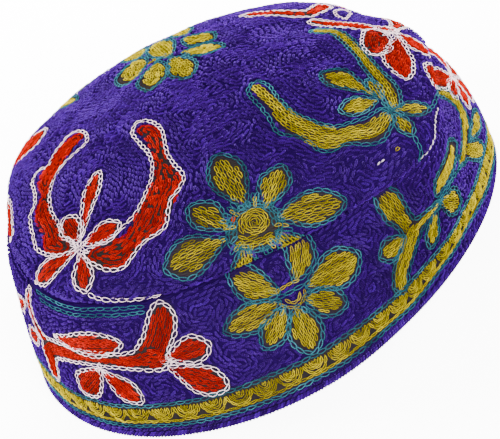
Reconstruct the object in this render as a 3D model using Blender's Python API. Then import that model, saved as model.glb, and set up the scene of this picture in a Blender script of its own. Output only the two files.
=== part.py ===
# Bukharan kippah: a soft domed cap of hand-embroidered cloth that rests on its rim.
# Metres, +Z up. The front of the cap is at -Y, its right at +X, and the head goes in from below.
import math

import bmesh
import bpy
from mathutils import Vector

MM = 0.001

# The cap seen from above, one row for each direction round it: 0 degrees is its right, 90 its back, 270 its front.
#   rim     radius of the lower edge
#   seam    radius of the seam between band and crown
#   height  height of the seam above the lower edge
#   belly   how far the band bulges outwards halfway up
#   puff    how far the crown bulges out over the seam, or sinks in where it is negative
SECTION_COLUMNS = ("degrees", "rim", "seam", "height", "belly", "puff")
SECTIONS = (
    (0.0, 95.0, 84.0, 49.5, 3.5, 0.5),
    (22.5, 98.5, 79.5, 46.5, 3.5, 1.0),
    (45.0, 99.5, 83.5, 46.0, 3.0, 2.0),
    (67.5, 99.0, 83.0, 47.5, 2.5, 2.5),
    (90.0, 97.5, 81.0, 50.0, 2.0, 3.0),
    (112.5, 96.0, 78.5, 53.0, 1.5, 3.0),
    (135.0, 94.5, 77.0, 56.0, 1.5, 3.0),
    (157.5, 94.5, 78.0, 59.0, 1.5, 2.0),
    (180.0, 95.0, 81.0, 58.0, 1.5, -1.0),
    (202.5, 99.0, 88.0, 56.0, 1.0, -1.0),
    (225.0, 101.5, 93.5, 52.5, 1.0, 1.0),
    (247.5, 100.0, 89.5, 50.0, 1.0, 2.5),
    (270.0, 96.0, 84.0, 48.5, 1.0, 3.5),
    (292.5, 89.5, 85.5, 47.5, 1.0, 4.0),
    (315.0, 87.5, 92.0, 47.5, 1.0, 3.5),
    (337.5, 90.0, 83.5, 52.0, 1.5, 3.0),
)

# Soft hollows pressed into the crown: degrees round it, distance from its middle, depth and half-width
DENTS = (
    (20.0, 52.0, 2.6, 15.0),
    (342.0, 46.0, 1.8, 16.0),
    (128.0, 48.0, 2.0, 18.0),
    (232.0, 42.0, 1.4, 14.0),
)

# Driving sizes
CAP_HEIGHT = 75.0 * MM
APEX = Vector((2.9, -4.1)) * MM
WALL = 2.4 * MM
SEAM_GAP = 0.3 * MM
PUFF_HEIGHT_SHARE = 0.22

# The overcast edging under the band: its section is an eight-sided bead with a flat foot
HEM_WIDTH = 3.0 * MM
HEM_HEIGHT = 2.2 * MM
HEM_FOOT = 1.8 * MM
HEM_CORNER = 0.7 * MM
BAND_FOOT = HEM_HEIGHT + SEAM_GAP

# Finish
INDIGO = (0.075, 0.035, 0.40)
DEEP_INDIGO = (0.06, 0.03, 0.33)
CLOTH_ROUGHNESS = 0.85

# Mesh density
COLUMNS = 72
BAND_ROWS = 8
CROWN_STEPS = (0.0, 3.5, 7.0, 11.0, 16.0, 22.0, 29.0, 37.0, 46.0, 56.0, 66.0, 76.0, 84.0)


def ring_value(column, angle):
    """One column of SECTIONS at any angle: a smooth closed curve through its rows, in metres."""
    index = SECTION_COLUMNS.index(column)
    values = [row[index] * MM for row in SECTIONS]
    count = len(values)
    place = (angle / math.tau * count) % count
    low = int(place)
    share = place - low
    before, start, end, after = (values[(low + step) % count] for step in (-1, 0, 1, 2))
    slope = end - before
    bend = 2 * before - 5 * start + 4 * end - after
    twist = 3 * start - before - 3 * end + after
    return 0.5 * (2 * start + slope * share + bend * share**2 + twist * share**3)


def band_point(angle, share):
    """A point of the band's outer face, share 0 at the rim and 1 at the seam."""
    rim = ring_value("rim", angle)
    seam = ring_value("seam", angle)
    radius = rim + (seam - rim) * share + ring_value("belly", angle) * 4 * share * (1 - share)
    height = ring_value("height", angle) * share
    return Vector((radius * math.cos(angle), radius * math.sin(angle), height))


def dent_depth(x, y):
    """How far the crown's hollows lower it at a point seen from above."""
    depth = 0.0
    for degrees, reach, deep, half_width in DENTS:
        turn = math.radians(degrees)
        away = math.hypot(x - reach * MM * math.cos(turn), y - reach * MM * math.sin(turn))
        depth += deep * MM * math.exp(-((away / (half_width * MM)) ** 2))
    return depth


def crown_point(angle, climb):
    """A point of the crown's outer face, climb 0 at the seam and a quarter turn at the apex."""
    seam = ring_value("seam", angle)
    foot = ring_value("height", angle)
    spread = math.cos(climb)
    lift = math.sin(climb)
    bulge_at = lift / PUFF_HEIGHT_SHARE
    bulge = ring_value("puff", angle) * bulge_at * math.exp(1 - bulge_at) * math.sqrt(spread)
    radius = seam * spread + bulge
    x = radius * math.cos(angle) + APEX.x * (1 - spread)
    y = radius * math.sin(angle) + APEX.y * (1 - spread)
    height = foot + (CAP_HEIGHT - foot) * lift
    return Vector((x, y, height - dent_depth(x, y) * lift))


def outward(surface, angle, place, step=1e-3):
    """The outward normal of a surface at one of its points."""
    along = surface(angle + step, place) - surface(angle - step, place)
    up = surface(angle, place + step) - surface(angle, place - step)
    return along.cross(up).normalized()


def level(direction):
    """A direction turned level, for an edge that is cut square to the seam or the hem."""
    return Vector((direction.x, direction.y, 0)).normalized()


def column_angles():
    return [index * math.tau / COLUMNS for index in range(COLUMNS)]


def object_from(name, verts, faces, colour):
    """A smooth-shaded object in the cap's collection, its normals turned outwards."""
    mesh = bpy.data.meshes.new(name)
    mesh.from_pydata(verts, [], faces)
    work = bmesh.new()
    work.from_mesh(mesh)
    bmesh.ops.recalc_face_normals(work, faces=work.faces)
    work.to_mesh(mesh)
    work.free()
    for polygon in mesh.polygons:
        polygon.use_smooth = True
    mesh.materials.append(cloth_material(name, colour))
    thing = bpy.data.objects.new(name, mesh)
    CAP.objects.link(thing)
    return thing


def cloth_material(name, colour):
    material = bpy.data.materials.new(name)
    material.use_nodes = True
    shader = material.node_tree.nodes["Principled BSDF"]
    shader.inputs["Base Color"].default_value = (*colour, 1)
    shader.inputs["Roughness"].default_value = CLOTH_ROUGHNESS
    shader.inputs["Metallic"].default_value = 0.0
    return material


def ring_solid(name, loops, colour):
    """A closed ring lofted through one closed section for each column round the cap."""
    size = len(loops[0])
    verts = [point for loop in loops for point in loop]
    faces = []
    for column in range(COLUMNS):
        here = column * size
        there = (column + 1) % COLUMNS * size
        for corner in range(size):
            after = (corner + 1) % size
            faces.append((here + corner, there + corner, there + after, here + after))
    return object_from(name, verts, faces, colour)


def band_section(angle):
    """The band's wall at one angle: up its outer face and down its inner one, with level edges."""
    low = BAND_FOOT / ring_value("height", angle)
    high = 1 - SEAM_GAP / 2 / ring_value("height", angle)
    places = [low + (high - low) * row / BAND_ROWS for row in range(BAND_ROWS + 1)]
    outer = [band_point(angle, place) for place in places]
    inner = [band_point(angle, place) - WALL * outward(band_point, angle, place) for place in places]
    for edge in (0, -1):
        inner[edge] = outer[edge] - WALL * level(outward(band_point, angle, places[edge]))
    return outer + inner[::-1]


def make_side_band():
    loops = [band_section(angle) for angle in column_angles()]
    return ring_solid("side_band", loops, INDIGO)


def make_hem_edge():
    """The edging runs under the middle of the band's wall."""
    half = HEM_WIDTH / 2
    foot = HEM_FOOT / 2
    section = (
        (foot, 0),
        (half, HEM_CORNER),
        (half, HEM_HEIGHT - HEM_CORNER),
        (foot, HEM_HEIGHT),
        (-foot, HEM_HEIGHT),
        (-half, HEM_HEIGHT - HEM_CORNER),
        (-half, HEM_CORNER),
        (-foot, 0),
    )
    loops = []
    for angle in column_angles():
        out = level(outward(band_point, angle, 0))
        middle = band_point(angle, 0) - WALL / 2 * out
        loops.append([middle + out * across + Vector((0, 0, up)) for across, up in section])
    return ring_solid("hem_edge", loops, DEEP_INDIGO)


def make_crown():
    """The crown's outer and inner faces, each closed at the apex, joined by a level edge at the seam."""
    steps = [math.radians(degrees) for degrees in CROWN_STEPS]
    rise = Vector((0, 0, SEAM_GAP / 2))
    outer = []
    inner = []
    for angle in column_angles():
        face = [crown_point(angle, climb) for climb in steps]
        back = [crown_point(angle, climb) - WALL * outward(crown_point, angle, climb) for climb in steps]
        back[0] = face[0] - WALL * level(outward(band_point, angle, 1))
        face[0] = face[0] + rise
        back[0] = back[0] + rise
        outer.append(face)
        inner.append(back)
    apex = crown_point(0, math.pi / 2)
    rows = len(steps)
    verts = [point for column in outer + inner for point in column]
    verts += [apex, apex - Vector((0, 0, WALL))]
    faces = []
    for column in range(COLUMNS):
        here = column * rows
        there = (column + 1) % COLUMNS * rows
        inside = COLUMNS * rows
        for row in range(rows - 1):
            faces.append((here + row, there + row, there + row + 1, here + row + 1))
            low = inside + row
            faces.append((here + low, here + low + 1, there + low + 1, there + low))
        faces.append((here, here + inside, there + inside, there))
        faces.append((here + rows - 1, there + rows - 1, len(verts) - 2))
        faces.append((there + inside + rows - 1, here + inside + rows - 1, len(verts) - 1))
    return object_from("crown", verts, faces, INDIGO)


def centre_on_origin(things):
    """Moves the meshes together, so that the middle of the cap's box stands over the origin."""
    points = [vertex.co for thing in things for vertex in thing.data.vertices]
    shift_x = (min(p.x for p in points) + max(p.x for p in points)) / 2
    shift_y = (min(p.y for p in points) + max(p.y for p in points)) / 2
    shift = Vector((shift_x, shift_y, 0))
    for thing in things:
        for vertex in thing.data.vertices:
            vertex.co -= shift
        thing.data.update()
    print("box centre moved to the origin by", [round(value / MM, 3) for value in shift], "mm")


for old in list(bpy.data.objects):
    bpy.data.objects.remove(old, do_unlink=True)

CAP = bpy.data.collections.new("bukharan_kippah")
bpy.context.scene.collection.children.link(CAP)

centre_on_origin([make_crown(), make_side_band(), make_hem_edge()])
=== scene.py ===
import math
from collections import namedtuple

import bpy
import numpy as np
from mathutils import Matrix, Vector


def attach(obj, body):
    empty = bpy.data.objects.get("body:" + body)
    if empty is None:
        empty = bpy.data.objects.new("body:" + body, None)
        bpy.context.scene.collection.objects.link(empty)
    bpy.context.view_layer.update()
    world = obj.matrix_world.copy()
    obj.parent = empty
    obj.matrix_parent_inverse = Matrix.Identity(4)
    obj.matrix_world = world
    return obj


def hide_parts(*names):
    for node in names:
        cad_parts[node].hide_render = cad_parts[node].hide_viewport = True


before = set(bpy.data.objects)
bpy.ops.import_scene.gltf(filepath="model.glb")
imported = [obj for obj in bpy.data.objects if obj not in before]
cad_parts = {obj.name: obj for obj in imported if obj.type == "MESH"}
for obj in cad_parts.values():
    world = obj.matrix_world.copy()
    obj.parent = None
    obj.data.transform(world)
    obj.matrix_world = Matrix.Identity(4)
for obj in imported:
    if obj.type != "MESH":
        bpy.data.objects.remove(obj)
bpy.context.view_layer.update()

# Lengths in this file are in millimetres until a mesh is made
MM = 0.001
TAU = math.tau
CHANCE = np.random.default_rng(5344)

# The cap's sections, as the part has them, one for each 22.5 degrees round it
RIM, SEAM, HEIGHT, BELLY, PUFF = range(5)
SECTIONS = np.array(
    (
        (95.0, 84.0, 49.5, 3.5, 0.5), (98.5, 79.5, 46.5, 3.5, 1.0), (99.5, 83.5, 46.0, 3.0, 2.0),
        (99.0, 83.0, 47.5, 2.5, 2.5), (97.5, 81.0, 50.0, 2.0, 3.0), (96.0, 78.5, 53.0, 1.5, 3.0),
        (94.5, 77.0, 56.0, 1.5, 3.0), (94.5, 78.0, 59.0, 1.5, 2.0), (95.0, 81.0, 58.0, 1.5, -1.0),
        (99.0, 88.0, 56.0, 1.0, -1.0), (101.5, 93.5, 52.5, 1.0, 1.0), (100.0, 89.5, 50.0, 1.0, 2.5),
        (96.0, 84.0, 48.5, 1.0, 3.5), (89.5, 85.5, 47.5, 1.0, 4.0), (87.5, 92.0, 47.5, 1.0, 3.5),
        (90.0, 83.5, 52.0, 1.5, 3.0),
    )
)
# Soft hollows in the crown: direction, distance from its middle, depth and half width
DENTS = (
    (20.0, 52.0, 2.6, 15.0),
    (342.0, 46.0, 1.8, 16.0),
    (128.0, 48.0, 2.0, 18.0),
    (232.0, 42.0, 1.4, 14.0),
)
CAP_HEIGHT = 75.0
APEX = (2.9, -4.1)
PUFF_HEIGHT_SHARE = 0.22
BOX_SHIFT = np.array((0.122, 0.382, 0.0))

# Charts: the crown laid out flat as a disc round its apex, the band as a strip round the cap
CROWN_RADIUS = 92.0
BAND_RADIUS = 95.0
BAND_LENGTH = TAU * BAND_RADIUS
BAND_HEIGHT = 50.0
BAND_STITCH_FOOT = 2.2

# How far the cloth stands off its even shape, in broad waves and in fine ones
BROAD_WAVES, FINE_WAVES = 0.24, 0.1
# The seam's groove: depth and half width of its soft flanks and of its narrow bottom
SEAM_CREASE = ((1.5, 3.4), (3.3, 1.2))
# The bare strip on each side of the seam
SEAM_ROOM = 0.85
UP = np.array((0.0, 0.0, 1.0))


def unit(vectors):
    return vectors / np.maximum(np.linalg.norm(vectors, axis=-1, keepdims=True), 1e-9)


def ring_value(column, angle):
    """One column of SECTIONS at any angles: a smooth closed curve through its rows."""
    values = SECTIONS[:, column]
    count = len(values)
    place = (angle / TAU * count) % count
    low = np.floor(place).astype(int)
    share = place - low
    before, start, end, after = (values[(low + step) % count] for step in (-1, 0, 1, 2))
    bend = 2 * before - 5 * start + 4 * end - after
    twist = 3 * start - before - 3 * end + after
    return 0.5 * (2 * start + (end - before) * share + bend * share**2 + twist * share**3)


def band_surface(angle, share):
    """The band's outer face, share 0 at the rim and 1 at the seam."""
    rim, seam, height, belly = (ring_value(column, angle) for column in (RIM, SEAM, HEIGHT, BELLY))
    radius = rim + (seam - rim) * share + belly * 4 * share * (1 - share)
    return np.stack([radius * np.cos(angle), radius * np.sin(angle), height * share], -1) - BOX_SHIFT


def crown_surface(angle, climb):
    """The crown's outer face, climb 0 at the seam and a quarter turn at the apex."""
    foot = ring_value(HEIGHT, angle)
    spread = np.cos(climb)
    lift = np.sin(climb)
    bulge_at = lift / PUFF_HEIGHT_SHARE
    bulge = ring_value(PUFF, angle) * bulge_at * np.exp(1 - bulge_at) * np.sqrt(np.maximum(spread, 0))
    radius = ring_value(SEAM, angle) * spread + bulge
    x = radius * np.cos(angle) + APEX[0] * (1 - spread)
    y = radius * np.sin(angle) + APEX[1] * (1 - spread)
    z = foot + (CAP_HEIGHT - foot) * lift
    for degrees, reach, deep, half_width in DENTS:
        turn = math.radians(degrees)
        away = np.hypot(x - reach * math.cos(turn), y - reach * math.sin(turn))
        z = z - deep * np.exp(-((away / half_width) ** 2)) * lift
    return np.stack([x, y, z], -1) - BOX_SHIFT


def climb_table(turns=360, steps=200, samples=181):
    """The climb at even shares of the arc from the apex to the seam, one row for each direction."""
    angles = np.linspace(0, TAU, turns + 1)
    climbs = np.linspace(math.pi / 2, 0, samples)
    face = crown_surface(angles[:, None], climbs[None, :])
    runs = np.linalg.norm(np.diff(face, axis=1), axis=2)
    arcs = np.concatenate([np.zeros((turns + 1, 1)), np.cumsum(runs, 1)], 1)
    shares = np.linspace(0, 1, steps + 1)
    return np.array([np.interp(shares, arc / arc[-1], climbs) for arc in arcs])


CLIMBS = climb_table()


def crown_place(x, y):
    """A point of the crown's outer face from its place on the crown's chart."""
    angle = np.arctan2(y, x) % TAU
    turns, steps = CLIMBS.shape[0] - 1, CLIMBS.shape[1] - 1
    across = angle / TAU * turns
    column = np.clip(across.astype(int), 0, turns - 1)
    beside = across - column
    along = np.clip(np.hypot(x, y) / CROWN_RADIUS, 0, 1) * steps
    row = np.clip(along.astype(int), 0, steps - 1)
    above = along - row
    near = CLIMBS[column, row] * (1 - above) + CLIMBS[column, row + 1] * above
    far = CLIMBS[column + 1, row] * (1 - above) + CLIMBS[column + 1, row + 1] * above
    return crown_surface(angle, near * (1 - beside) + far * beside)


def band_place(x, y):
    """A point of the band's outer face from its place on the band's chart."""
    return band_surface((x / BAND_RADIUS) % TAU, np.clip(y / BAND_HEIGHT, 0, 1))


def unevenness(points):
    """How far the hand-stitched cloth stands off its even shape."""
    x, y, z = points[..., 0], points[..., 1], points[..., 2]
    broad = np.sin(x / 6.1 + 1.3) * np.sin(y / 7.3 + z / 9.0)
    fine = np.sin(x / 3.3 - y / 4.1 + z / 2.9)
    return BROAD_WAVES * broad + FINE_WAVES * fine


class Chart:
    """One cloth's chart: where its places lie on the cap, and which way is out."""

    def __init__(self, place, period, low, high, edges, seam_room, open_ground):
        self.place = place
        self.period = period
        self.low = np.array(low)
        self.high = np.array(high)
        self.edges = edges
        self.seam_room = seam_room
        self.open_ground = open_ground

    def normals(self, x, y, step=0.4):
        along = self.place(x + step, y) - self.place(x - step, y)
        up = self.place(x, y + step) - self.place(x, y - step)
        return unit(np.cross(along, up))

    def cloth(self, x, y, height):
        """Points at a height over the even surface, with its unevenness and the crease at its seam."""
        points = self.place(x, y)
        out = self.normals(x, y)
        room = self.seam_room(x, y)
        crease = sum(deep * np.exp(-((room / wide) ** 2)) for deep, wide in SEAM_CREASE)
        level = unit(out * (1 - UP))
        return points + out * (height + unevenness(points))[..., None] - level * crease[..., None], out


def crown_seam_room(x, y):
    return CROWN_RADIUS - np.hypot(x, y)


def crown_edge_room(x, y):
    return crown_seam_room(x, y) - SEAM_ROOM


def band_seam_room(x, y):
    return BAND_HEIGHT - y


def band_edge_room(x, y):
    return np.minimum(y - BAND_STITCH_FOOT, BAND_HEIGHT - SEAM_ROOM - y)


def crown_open(x, y):
    return np.full(np.shape(x), True)


def band_open(x, y):
    """Where the ground is stitched on the band: all but the border."""
    offset = y - border_height(x)
    return (offset > TEAL_OVER) | (offset < TEAL_UNDER)


# The border round the band: height of its middle along the strip, and its lines' distances from that
BORDER = np.array(
    (
        (0.0, 7.4), (60.0, 8.0), (200.0, 8.4), (320.0, 8.7), (430.0, 9.0), (470.0, 8.6), (490.0, 8.8),
        (510.0, 11.0), (528.0, 12.4), (541.0, 11.0), (557.0, 8.8), (575.0, 7.3), (BAND_LENGTH, 7.4),
    )
)
TEAL_OVER, TEAL_UNDER, YELLOW_FOOT = 4.3, -4.0, -2.3


def border_height(x):
    return np.interp(x % BAND_LENGTH, BORDER[:, 0], BORDER[:, 1])


CROWN = Chart(
    crown_place, None, (-93.0, -93.0), (93.0, 93.0),
    crown_edge_room, crown_seam_room, crown_open,
)
BAND = Chart(
    band_place, BAND_LENGTH, (0.0, 0.0), (BAND_LENGTH, BAND_HEIGHT),
    band_edge_room, band_seam_room, band_open,
)


# Shapes on a chart, each a closed outline


def through(points, closed=True, steps=6):
    """A smooth curve through a few points."""
    points = np.array(points, float)
    before, after = (points[-1:], points[:2]) if closed else (points[:1], points[-1:])
    knots = np.concatenate([before, points, after])
    s = (np.arange(steps) / steps)[:, None]
    legs = []
    for a, b, c, d in zip(knots, knots[1:], knots[2:], knots[3:]):
        bend = 2 * a - 5 * b + 4 * c - d
        twist = 3 * b - a - 3 * c + d
        legs.append(0.5 * (2 * b + (c - a) * s + bend * s**2 + twist * s**3))
    return np.concatenate(legs if closed else legs + [points[-1:]])


def blob(*points):
    return through(points)


# How blunt a leaf's two ends are, and the ends of the rows in it: nought is square and one is sharp
LEAF_ENDS, ROW_ENDS = 0.72, 0.56


def swelling(share, full, ends):
    """A leaf's half width along its length, as a share of its greatest, which it has at the share full."""
    swell = share ** (math.log(0.5) / math.log(full))
    return np.maximum(np.sin(math.pi * swell), 0) ** ends


def leaf(base, tip, width, full=0.6, steps=18):
    """A petal or leaf from its base to its tip, widest at the share full of its length."""
    base, tip = np.array(base, float), np.array(tip, float)
    axis = tip - base
    side = np.array((-axis[1], axis[0])) / np.linalg.norm(axis)
    share = (1 - np.cos(np.linspace(0, math.pi, steps))) / 2
    half = width / 2 * swelling(share, full, LEAF_ENDS)
    left = base + axis * share[:, None] + side * half[:, None]
    right = base + axis * share[:, None] - side * half[:, None]
    return np.concatenate([left, right[::-1][1:-1]])


# Where the rows' ends lie in a limb's rounded end, as shares of its radius
CAP_SHARES = np.array((0.35, 0.7, 0.95))
# How far the rows in a limb or a petal stray to the side
STRAY = 0.1
SHORTEST_ROW = 3.2


class Limb:
    """A stem or arm along a smooth line through knots, each with its place and its width there."""

    def __init__(self, knots):
        run = through(knots, closed=False, steps=5)
        middle, width = run[:, :2], np.maximum(run[:, 2], 0.6)
        along = unit(np.gradient(middle, axis=0))
        side = np.stack([-along[:, 1], along[:, 0]], 1)
        left = middle + side * width[:, None] / 2
        right = middle - side * width[:, None] / 2
        ends = []
        for end, sign in ((-1, 1), (0, -1)):
            turn = np.linspace(0, math.pi, 6)[1:-1, None]
            across = side[end] * sign
            out = across * np.cos(turn) + along[end] * sign * np.sin(turn)
            ends.append(middle[end] + out * width[end] / 2)
        self.outline = np.concatenate([left, ends[0], right[::-1], ends[1]])
        self.middle, self.width, self.side = middle, width, side

    def core(self, gap):
        """The part of the limb that its own rows fill."""
        reach = self.side * np.maximum(self.width / 2 - gap, 0.1)[:, None]
        return np.concatenate([self.middle + reach, (self.middle - reach)[::-1]])

    def rows(self, gap, apart):
        """Rows that run along the limb, as many abreast as its width has room for."""
        own = (self.middle, self.side, np.maximum(self.width / 2 - gap, 0.0))
        caps = []
        for end, before in ((0, 1), (-1, -2)):
            middle, side, room = (values[end] for values in own)
            ahead = middle - self.middle[before]
            more = middle + ahead / np.linalg.norm(ahead) * room * CAP_SHARES[:, None]
            caps.append((more, np.repeat(side[None], len(more), 0), room * np.sqrt(1 - CAP_SHARES**2)))
        joined = [np.concatenate([low[::-1], run, high]) for low, run, high in zip(caps[0], own, caps[1])]
        middle, side, room = joined
        widest = max(room.max(), 0.3)
        count = max(1, round(2 * widest / apart))
        rows = []
        for column in range(count):
            offset = ((column + 0.5) / count * 2 - 1) * widest * (0.5 + 0.5 * room / widest)
            offset = offset + CHANCE.uniform(-STRAY, STRAY)
            held = np.abs(offset) <= np.maximum(room - 0.25 * apart, 0.3)
            rows += stretches(middle + side * offset[:, None], held)
        return rows


def inside(points, curve):
    """Which points lie inside a closed outline."""
    crossings = np.zeros(len(points), int)
    for (x0, y0), (x1, y1) in zip(curve, np.roll(curve, -1, 0)):
        over = (y0 > points[:, 1]) != (y1 > points[:, 1])
        with np.errstate(divide="ignore", invalid="ignore"):
            at = x0 + (points[:, 1] - y0) / (y1 - y0) * (x1 - x0)
        crossings += over & (points[:, 0] < at)
    return crossings % 2 == 1


def reach_along(points):
    """How far along a line each of its points lies."""
    return np.concatenate([[0], np.cumsum(np.linalg.norm(np.diff(points, axis=0), axis=1))])


def read_line(points, reach, places):
    """A line's points at some distances along it."""
    return np.stack([np.interp(places, reach, points[:, axis]) for axis in (0, 1)], 1)


def stretches(points, held, least=3):
    """The unbroken stretches of a line's held points."""
    bounds = np.flatnonzero(np.diff(np.concatenate([[0], held.astype(int), [0]])))
    return [points[low:high] for low, high in zip(bounds[::2], bounds[1::2]) if high - low >= least]


def cut(run, closed, held, least=3):
    """What is left of a line where it is held: the whole of it, or its stretches."""
    if held.all():
        return [(run, closed)]
    if closed:
        first = np.flatnonzero(~held)[0]
        run, held = np.roll(run, -first, 0), np.roll(held, -first)
    return [(stretch, False) for stretch in stretches(run, held, least)]


def limb(*knots):
    return Limb(knots)


def limb_rows(thread, limbs, gap, apart=1.2):
    """The rows in some limbs that grow from each other: a later limb's rows stop at an earlier one's."""
    rows = []
    cores = [own.core(gap + 0.1) for own in limbs]
    for index, own in enumerate(limbs):
        for run in own.rows(gap, apart):
            held = np.full(len(run), True)
            for core in cores[:index]:
                held &= ~inside(run, core)
            rows += [(thread, stretch) for stretch in stretches(run, held)]
    return rows


def ring(centre, radius, count=16):
    turn = np.arange(count) * TAU / count
    return np.array(centre) + radius * np.stack([np.cos(turn), np.sin(turn)], 1)


class Part:
    """A stitched figure: one outline or several that run together, the thread round it and what fills it.

    The filling keeps inside the outline by the gap, or is a list of ready rows. Where there is neither,
    ground says whether the ground's rows go on inside the outline.
    """

    def __init__(self, shapes, line=None, fill=None, gap=1.6, ground=False, closed=True, rows=()):
        shapes = shapes if isinstance(shapes, list) else [shapes]
        self.shapes = [shape.outline if isinstance(shape, Limb) else shape for shape in shapes]
        self.line = line
        self.fill = fill
        self.gap = gap
        self.ground = ground
        self.closed = closed
        self.rows = rows

    def moved(self, x):
        shift = np.array((x, 0.0))
        shapes = [shape + shift for shape in self.shapes]
        rows = [(thread, run + shift) for thread, run in self.rows]
        return Part(shapes, self.line, self.fill, self.gap, self.ground, self.closed, rows)


def figure(line, fill, shapes, gap):
    """An outlined figure: limbs are filled with rows along them, other shapes with rows round them."""
    shapes = shapes if isinstance(shapes, list) else [shapes]
    if all(isinstance(shape, Limb) for shape in shapes):
        return Part(shapes, line, rows=limb_rows(fill, shapes, gap - 0.35))
    return Part(shapes, line, fill, gap)


def red(shapes, gap=1.5):
    return figure("white", "red", shapes, gap)


def yellow(shapes, gap=1.5):
    return figure("teal", "yellow", shapes, gap)


# A petal's rows: how far from its base they start, and how much of their width they have there and gain
PETAL_START = 0.3
PETAL_SPREAD = (0.68, 0.32)


def petal(line, fill, base, tip, width, inner, full=0.6, short=2.0, apart=1.2):
    """A petal or leaf filled with rows that run from its base to near its tip."""
    base, tip = np.array(base, float), np.array(tip, float)
    along = (tip - base) / np.linalg.norm(tip - base)
    side = np.array((-along[1], along[0]))
    start = base + along * PETAL_START
    length = np.linalg.norm(tip - base) - PETAL_START - short
    share = np.linspace(0, 1, 60)
    swell = swelling(share, full, ROW_ENDS)
    count = max(2, round(inner / apart))
    rows = []
    for column in range(count):
        across = ((column + 0.5) / count - 0.5) * inner + CHANCE.uniform(-STRAY, STRAY)
        offset = across * (PETAL_SPREAD[0] + PETAL_SPREAD[1] * swell)
        held = np.flatnonzero(np.abs(offset) <= np.maximum(swell * inner / 2 - 0.3 * apart, 0.15))
        if len(held) > 1 and share[held[-1]] - share[held[0]] > SHORTEST_ROW / length:
            spots = slice(held[0], held[-1] + 1)
            rows.append((fill, start + along * (share * length)[spots, None] + side * offset[spots, None]))
    return Part(leaf(base, tip, width, full), line, rows=rows)


def red_petal(base, tip, width, full=0.62, room=0.75):
    return petal("white", "red", base, tip, width, width - 2 * room, full, room * 1.5)


def yellow_petal(base, tip, width, inner, full=0.6, short=2.1, apart=1.2):
    return petal("teal", "yellow", base, tip, width, inner + 0.8, full, short - 0.4, apart)


def outline(shape, thread, ground=True):
    return Part(shape, thread, ground=ground)


def filling(shapes, thread):
    return Part(shapes, None, thread, 0.0)


def along_limb(own, thread, apart=1.3):
    return Part(own, rows=limb_rows(thread, [own], 0.1, apart))


def stitched_line(thread, *points):
    return Part(through(points, closed=False), thread, ground=True, closed=False)


def rays(thread, centre, inner, outer, degrees):
    """Short stitched lines out from the middle of a flower."""
    parts = []
    for angle in degrees:
        out = np.array((math.cos(math.radians(angle)), math.sin(math.radians(angle))))
        ends = [np.array(centre) + out * reach for reach in (inner, (inner + outer) / 2, outer)]
        parts.append(stitched_line(thread, *ends))
    return parts


def coil(thread, centre, radius, pitch):
    """A stitched spiral that winds out from a centre."""
    turns = radius / pitch
    turn = np.linspace(0.35, turns, int(turns * 14)) * TAU
    reach = turn / TAU * pitch
    points = np.array(centre) + reach[:, None] * np.stack([np.cos(turn), np.sin(turn)], 1)
    return Part(points, thread, ground=True, closed=False)


# Crown: the red horn on the left
RED_HORN = [
    outline(
        blob(
            (-52, -49.5), (-59, -48.5), (-66, -43), (-69, -38.5), (-70, -33), (-71.5, -23), (-69, -18),
            (-70.5, -9.5), (-72, -3), (-71, 1.5), (-68, 3),
            (-65, 1.5), (-61.5, 7.5), (-58, 11), (-54, 13.8),
            (-50.5, 14), (-47.7, 9.5), (-46.5, 3.5), (-47.3, -0.8), (-51, -1.8), (-55, -3.6), (-58.8, -7),
            (-61, -11.5), (-61.8, -16.5), (-62, -22), (-61, -28.5), (-58.8, -34), (-57, -39), (-54.5, -45),
        ),
        "white",
    ),
    filling(
        limb(
            (-55, -48.8, 4.6), (-60.4, -43, 8.2), (-61.8, -36, 6.4),
            (-64.6, -28, 7), (-65, -22.5, 6.6), (-63.4, -18, 3.8),
            (-63.8, -12, 7), (-63.8, -6, 9.4), (-60, 0.5, 8.4),
            (-56, 4.6, 8.4), (-52.8, 6.8, 8.4), (-51.4, 7.4, 6.6),
        ),
        "red",
    ),
    outline(
        blob(
            (-50, -53.5), (-44, -53.5), (-38, -53), (-30.5, -49.5), (-25, -41.5), (-22, -33), (-21.5, -25),
            (-23.5, -18.5), (-26.5, -12), (-26.5, -7.5),
            (-24.5, -5.5), (-21, -7), (-17.5, -11), (-15.3, -17),
            (-16, -26), (-16.2, -31), (-15, -38), (-13.8, -45), (-16, -49.5), (-19.5, -52), (-22.5, -58.5),
            (-25, -62), (-31, -62.3), (-36, -64.5), (-40, -66.8), (-44.5, -64.5), (-48, -60), (-50, -56),
        ),
        "white",
    ),
    filling(
        limb(
            (-23, -10.6, 3.4), (-19.4, -15.6, 5.4), (-18.5, -22, 4.6),
            (-18.6, -28, 4.4), (-18.8, -34, 4.8), (-19.4, -39, 7.6),
            (-20.4, -45, 11.6), (-24.5, -51.5, 12.6), (-29, -56.5, 11),
            (-34.5, -59.8, 8.4), (-40, -60.8, 11), (-45, -58.5, 9),
            (-48.5, -54.8, 4),
        ),
        "red",
    ),
    red_petal((-49.5, -47.5), (-40.8, -21.5), 6.4, 0.68),
    red_petal((-50.8, -48), (-55.2, -35), 8),
    red_petal((-49.5, -50.5), (-36.4, -50.2), 8.4),
    red_petal((-52.5, -51), (-73, -50.3), 7.4),
    red_petal((-51, -53), (-54.4, -66), 7),
    stitched_line(
        "white", (-54, -67), (-52, -70.5), (-48.5, -74.5), (-44.5, -77.6), (-40, -80.6), (-36, -83)
    ),
    stitched_line("white", (-73, -50.3), (-78, -47), (-82, -41)),
    *rays("white", (-51, -50.5), 0.4, 4.5, (20, 75, 130, 190, 250, 300)),
    stitched_line("pale", (-87.6, -24), (-84.5, -33.5), (-80.6, -41.6), (-75.4, -50.4)),
]

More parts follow.
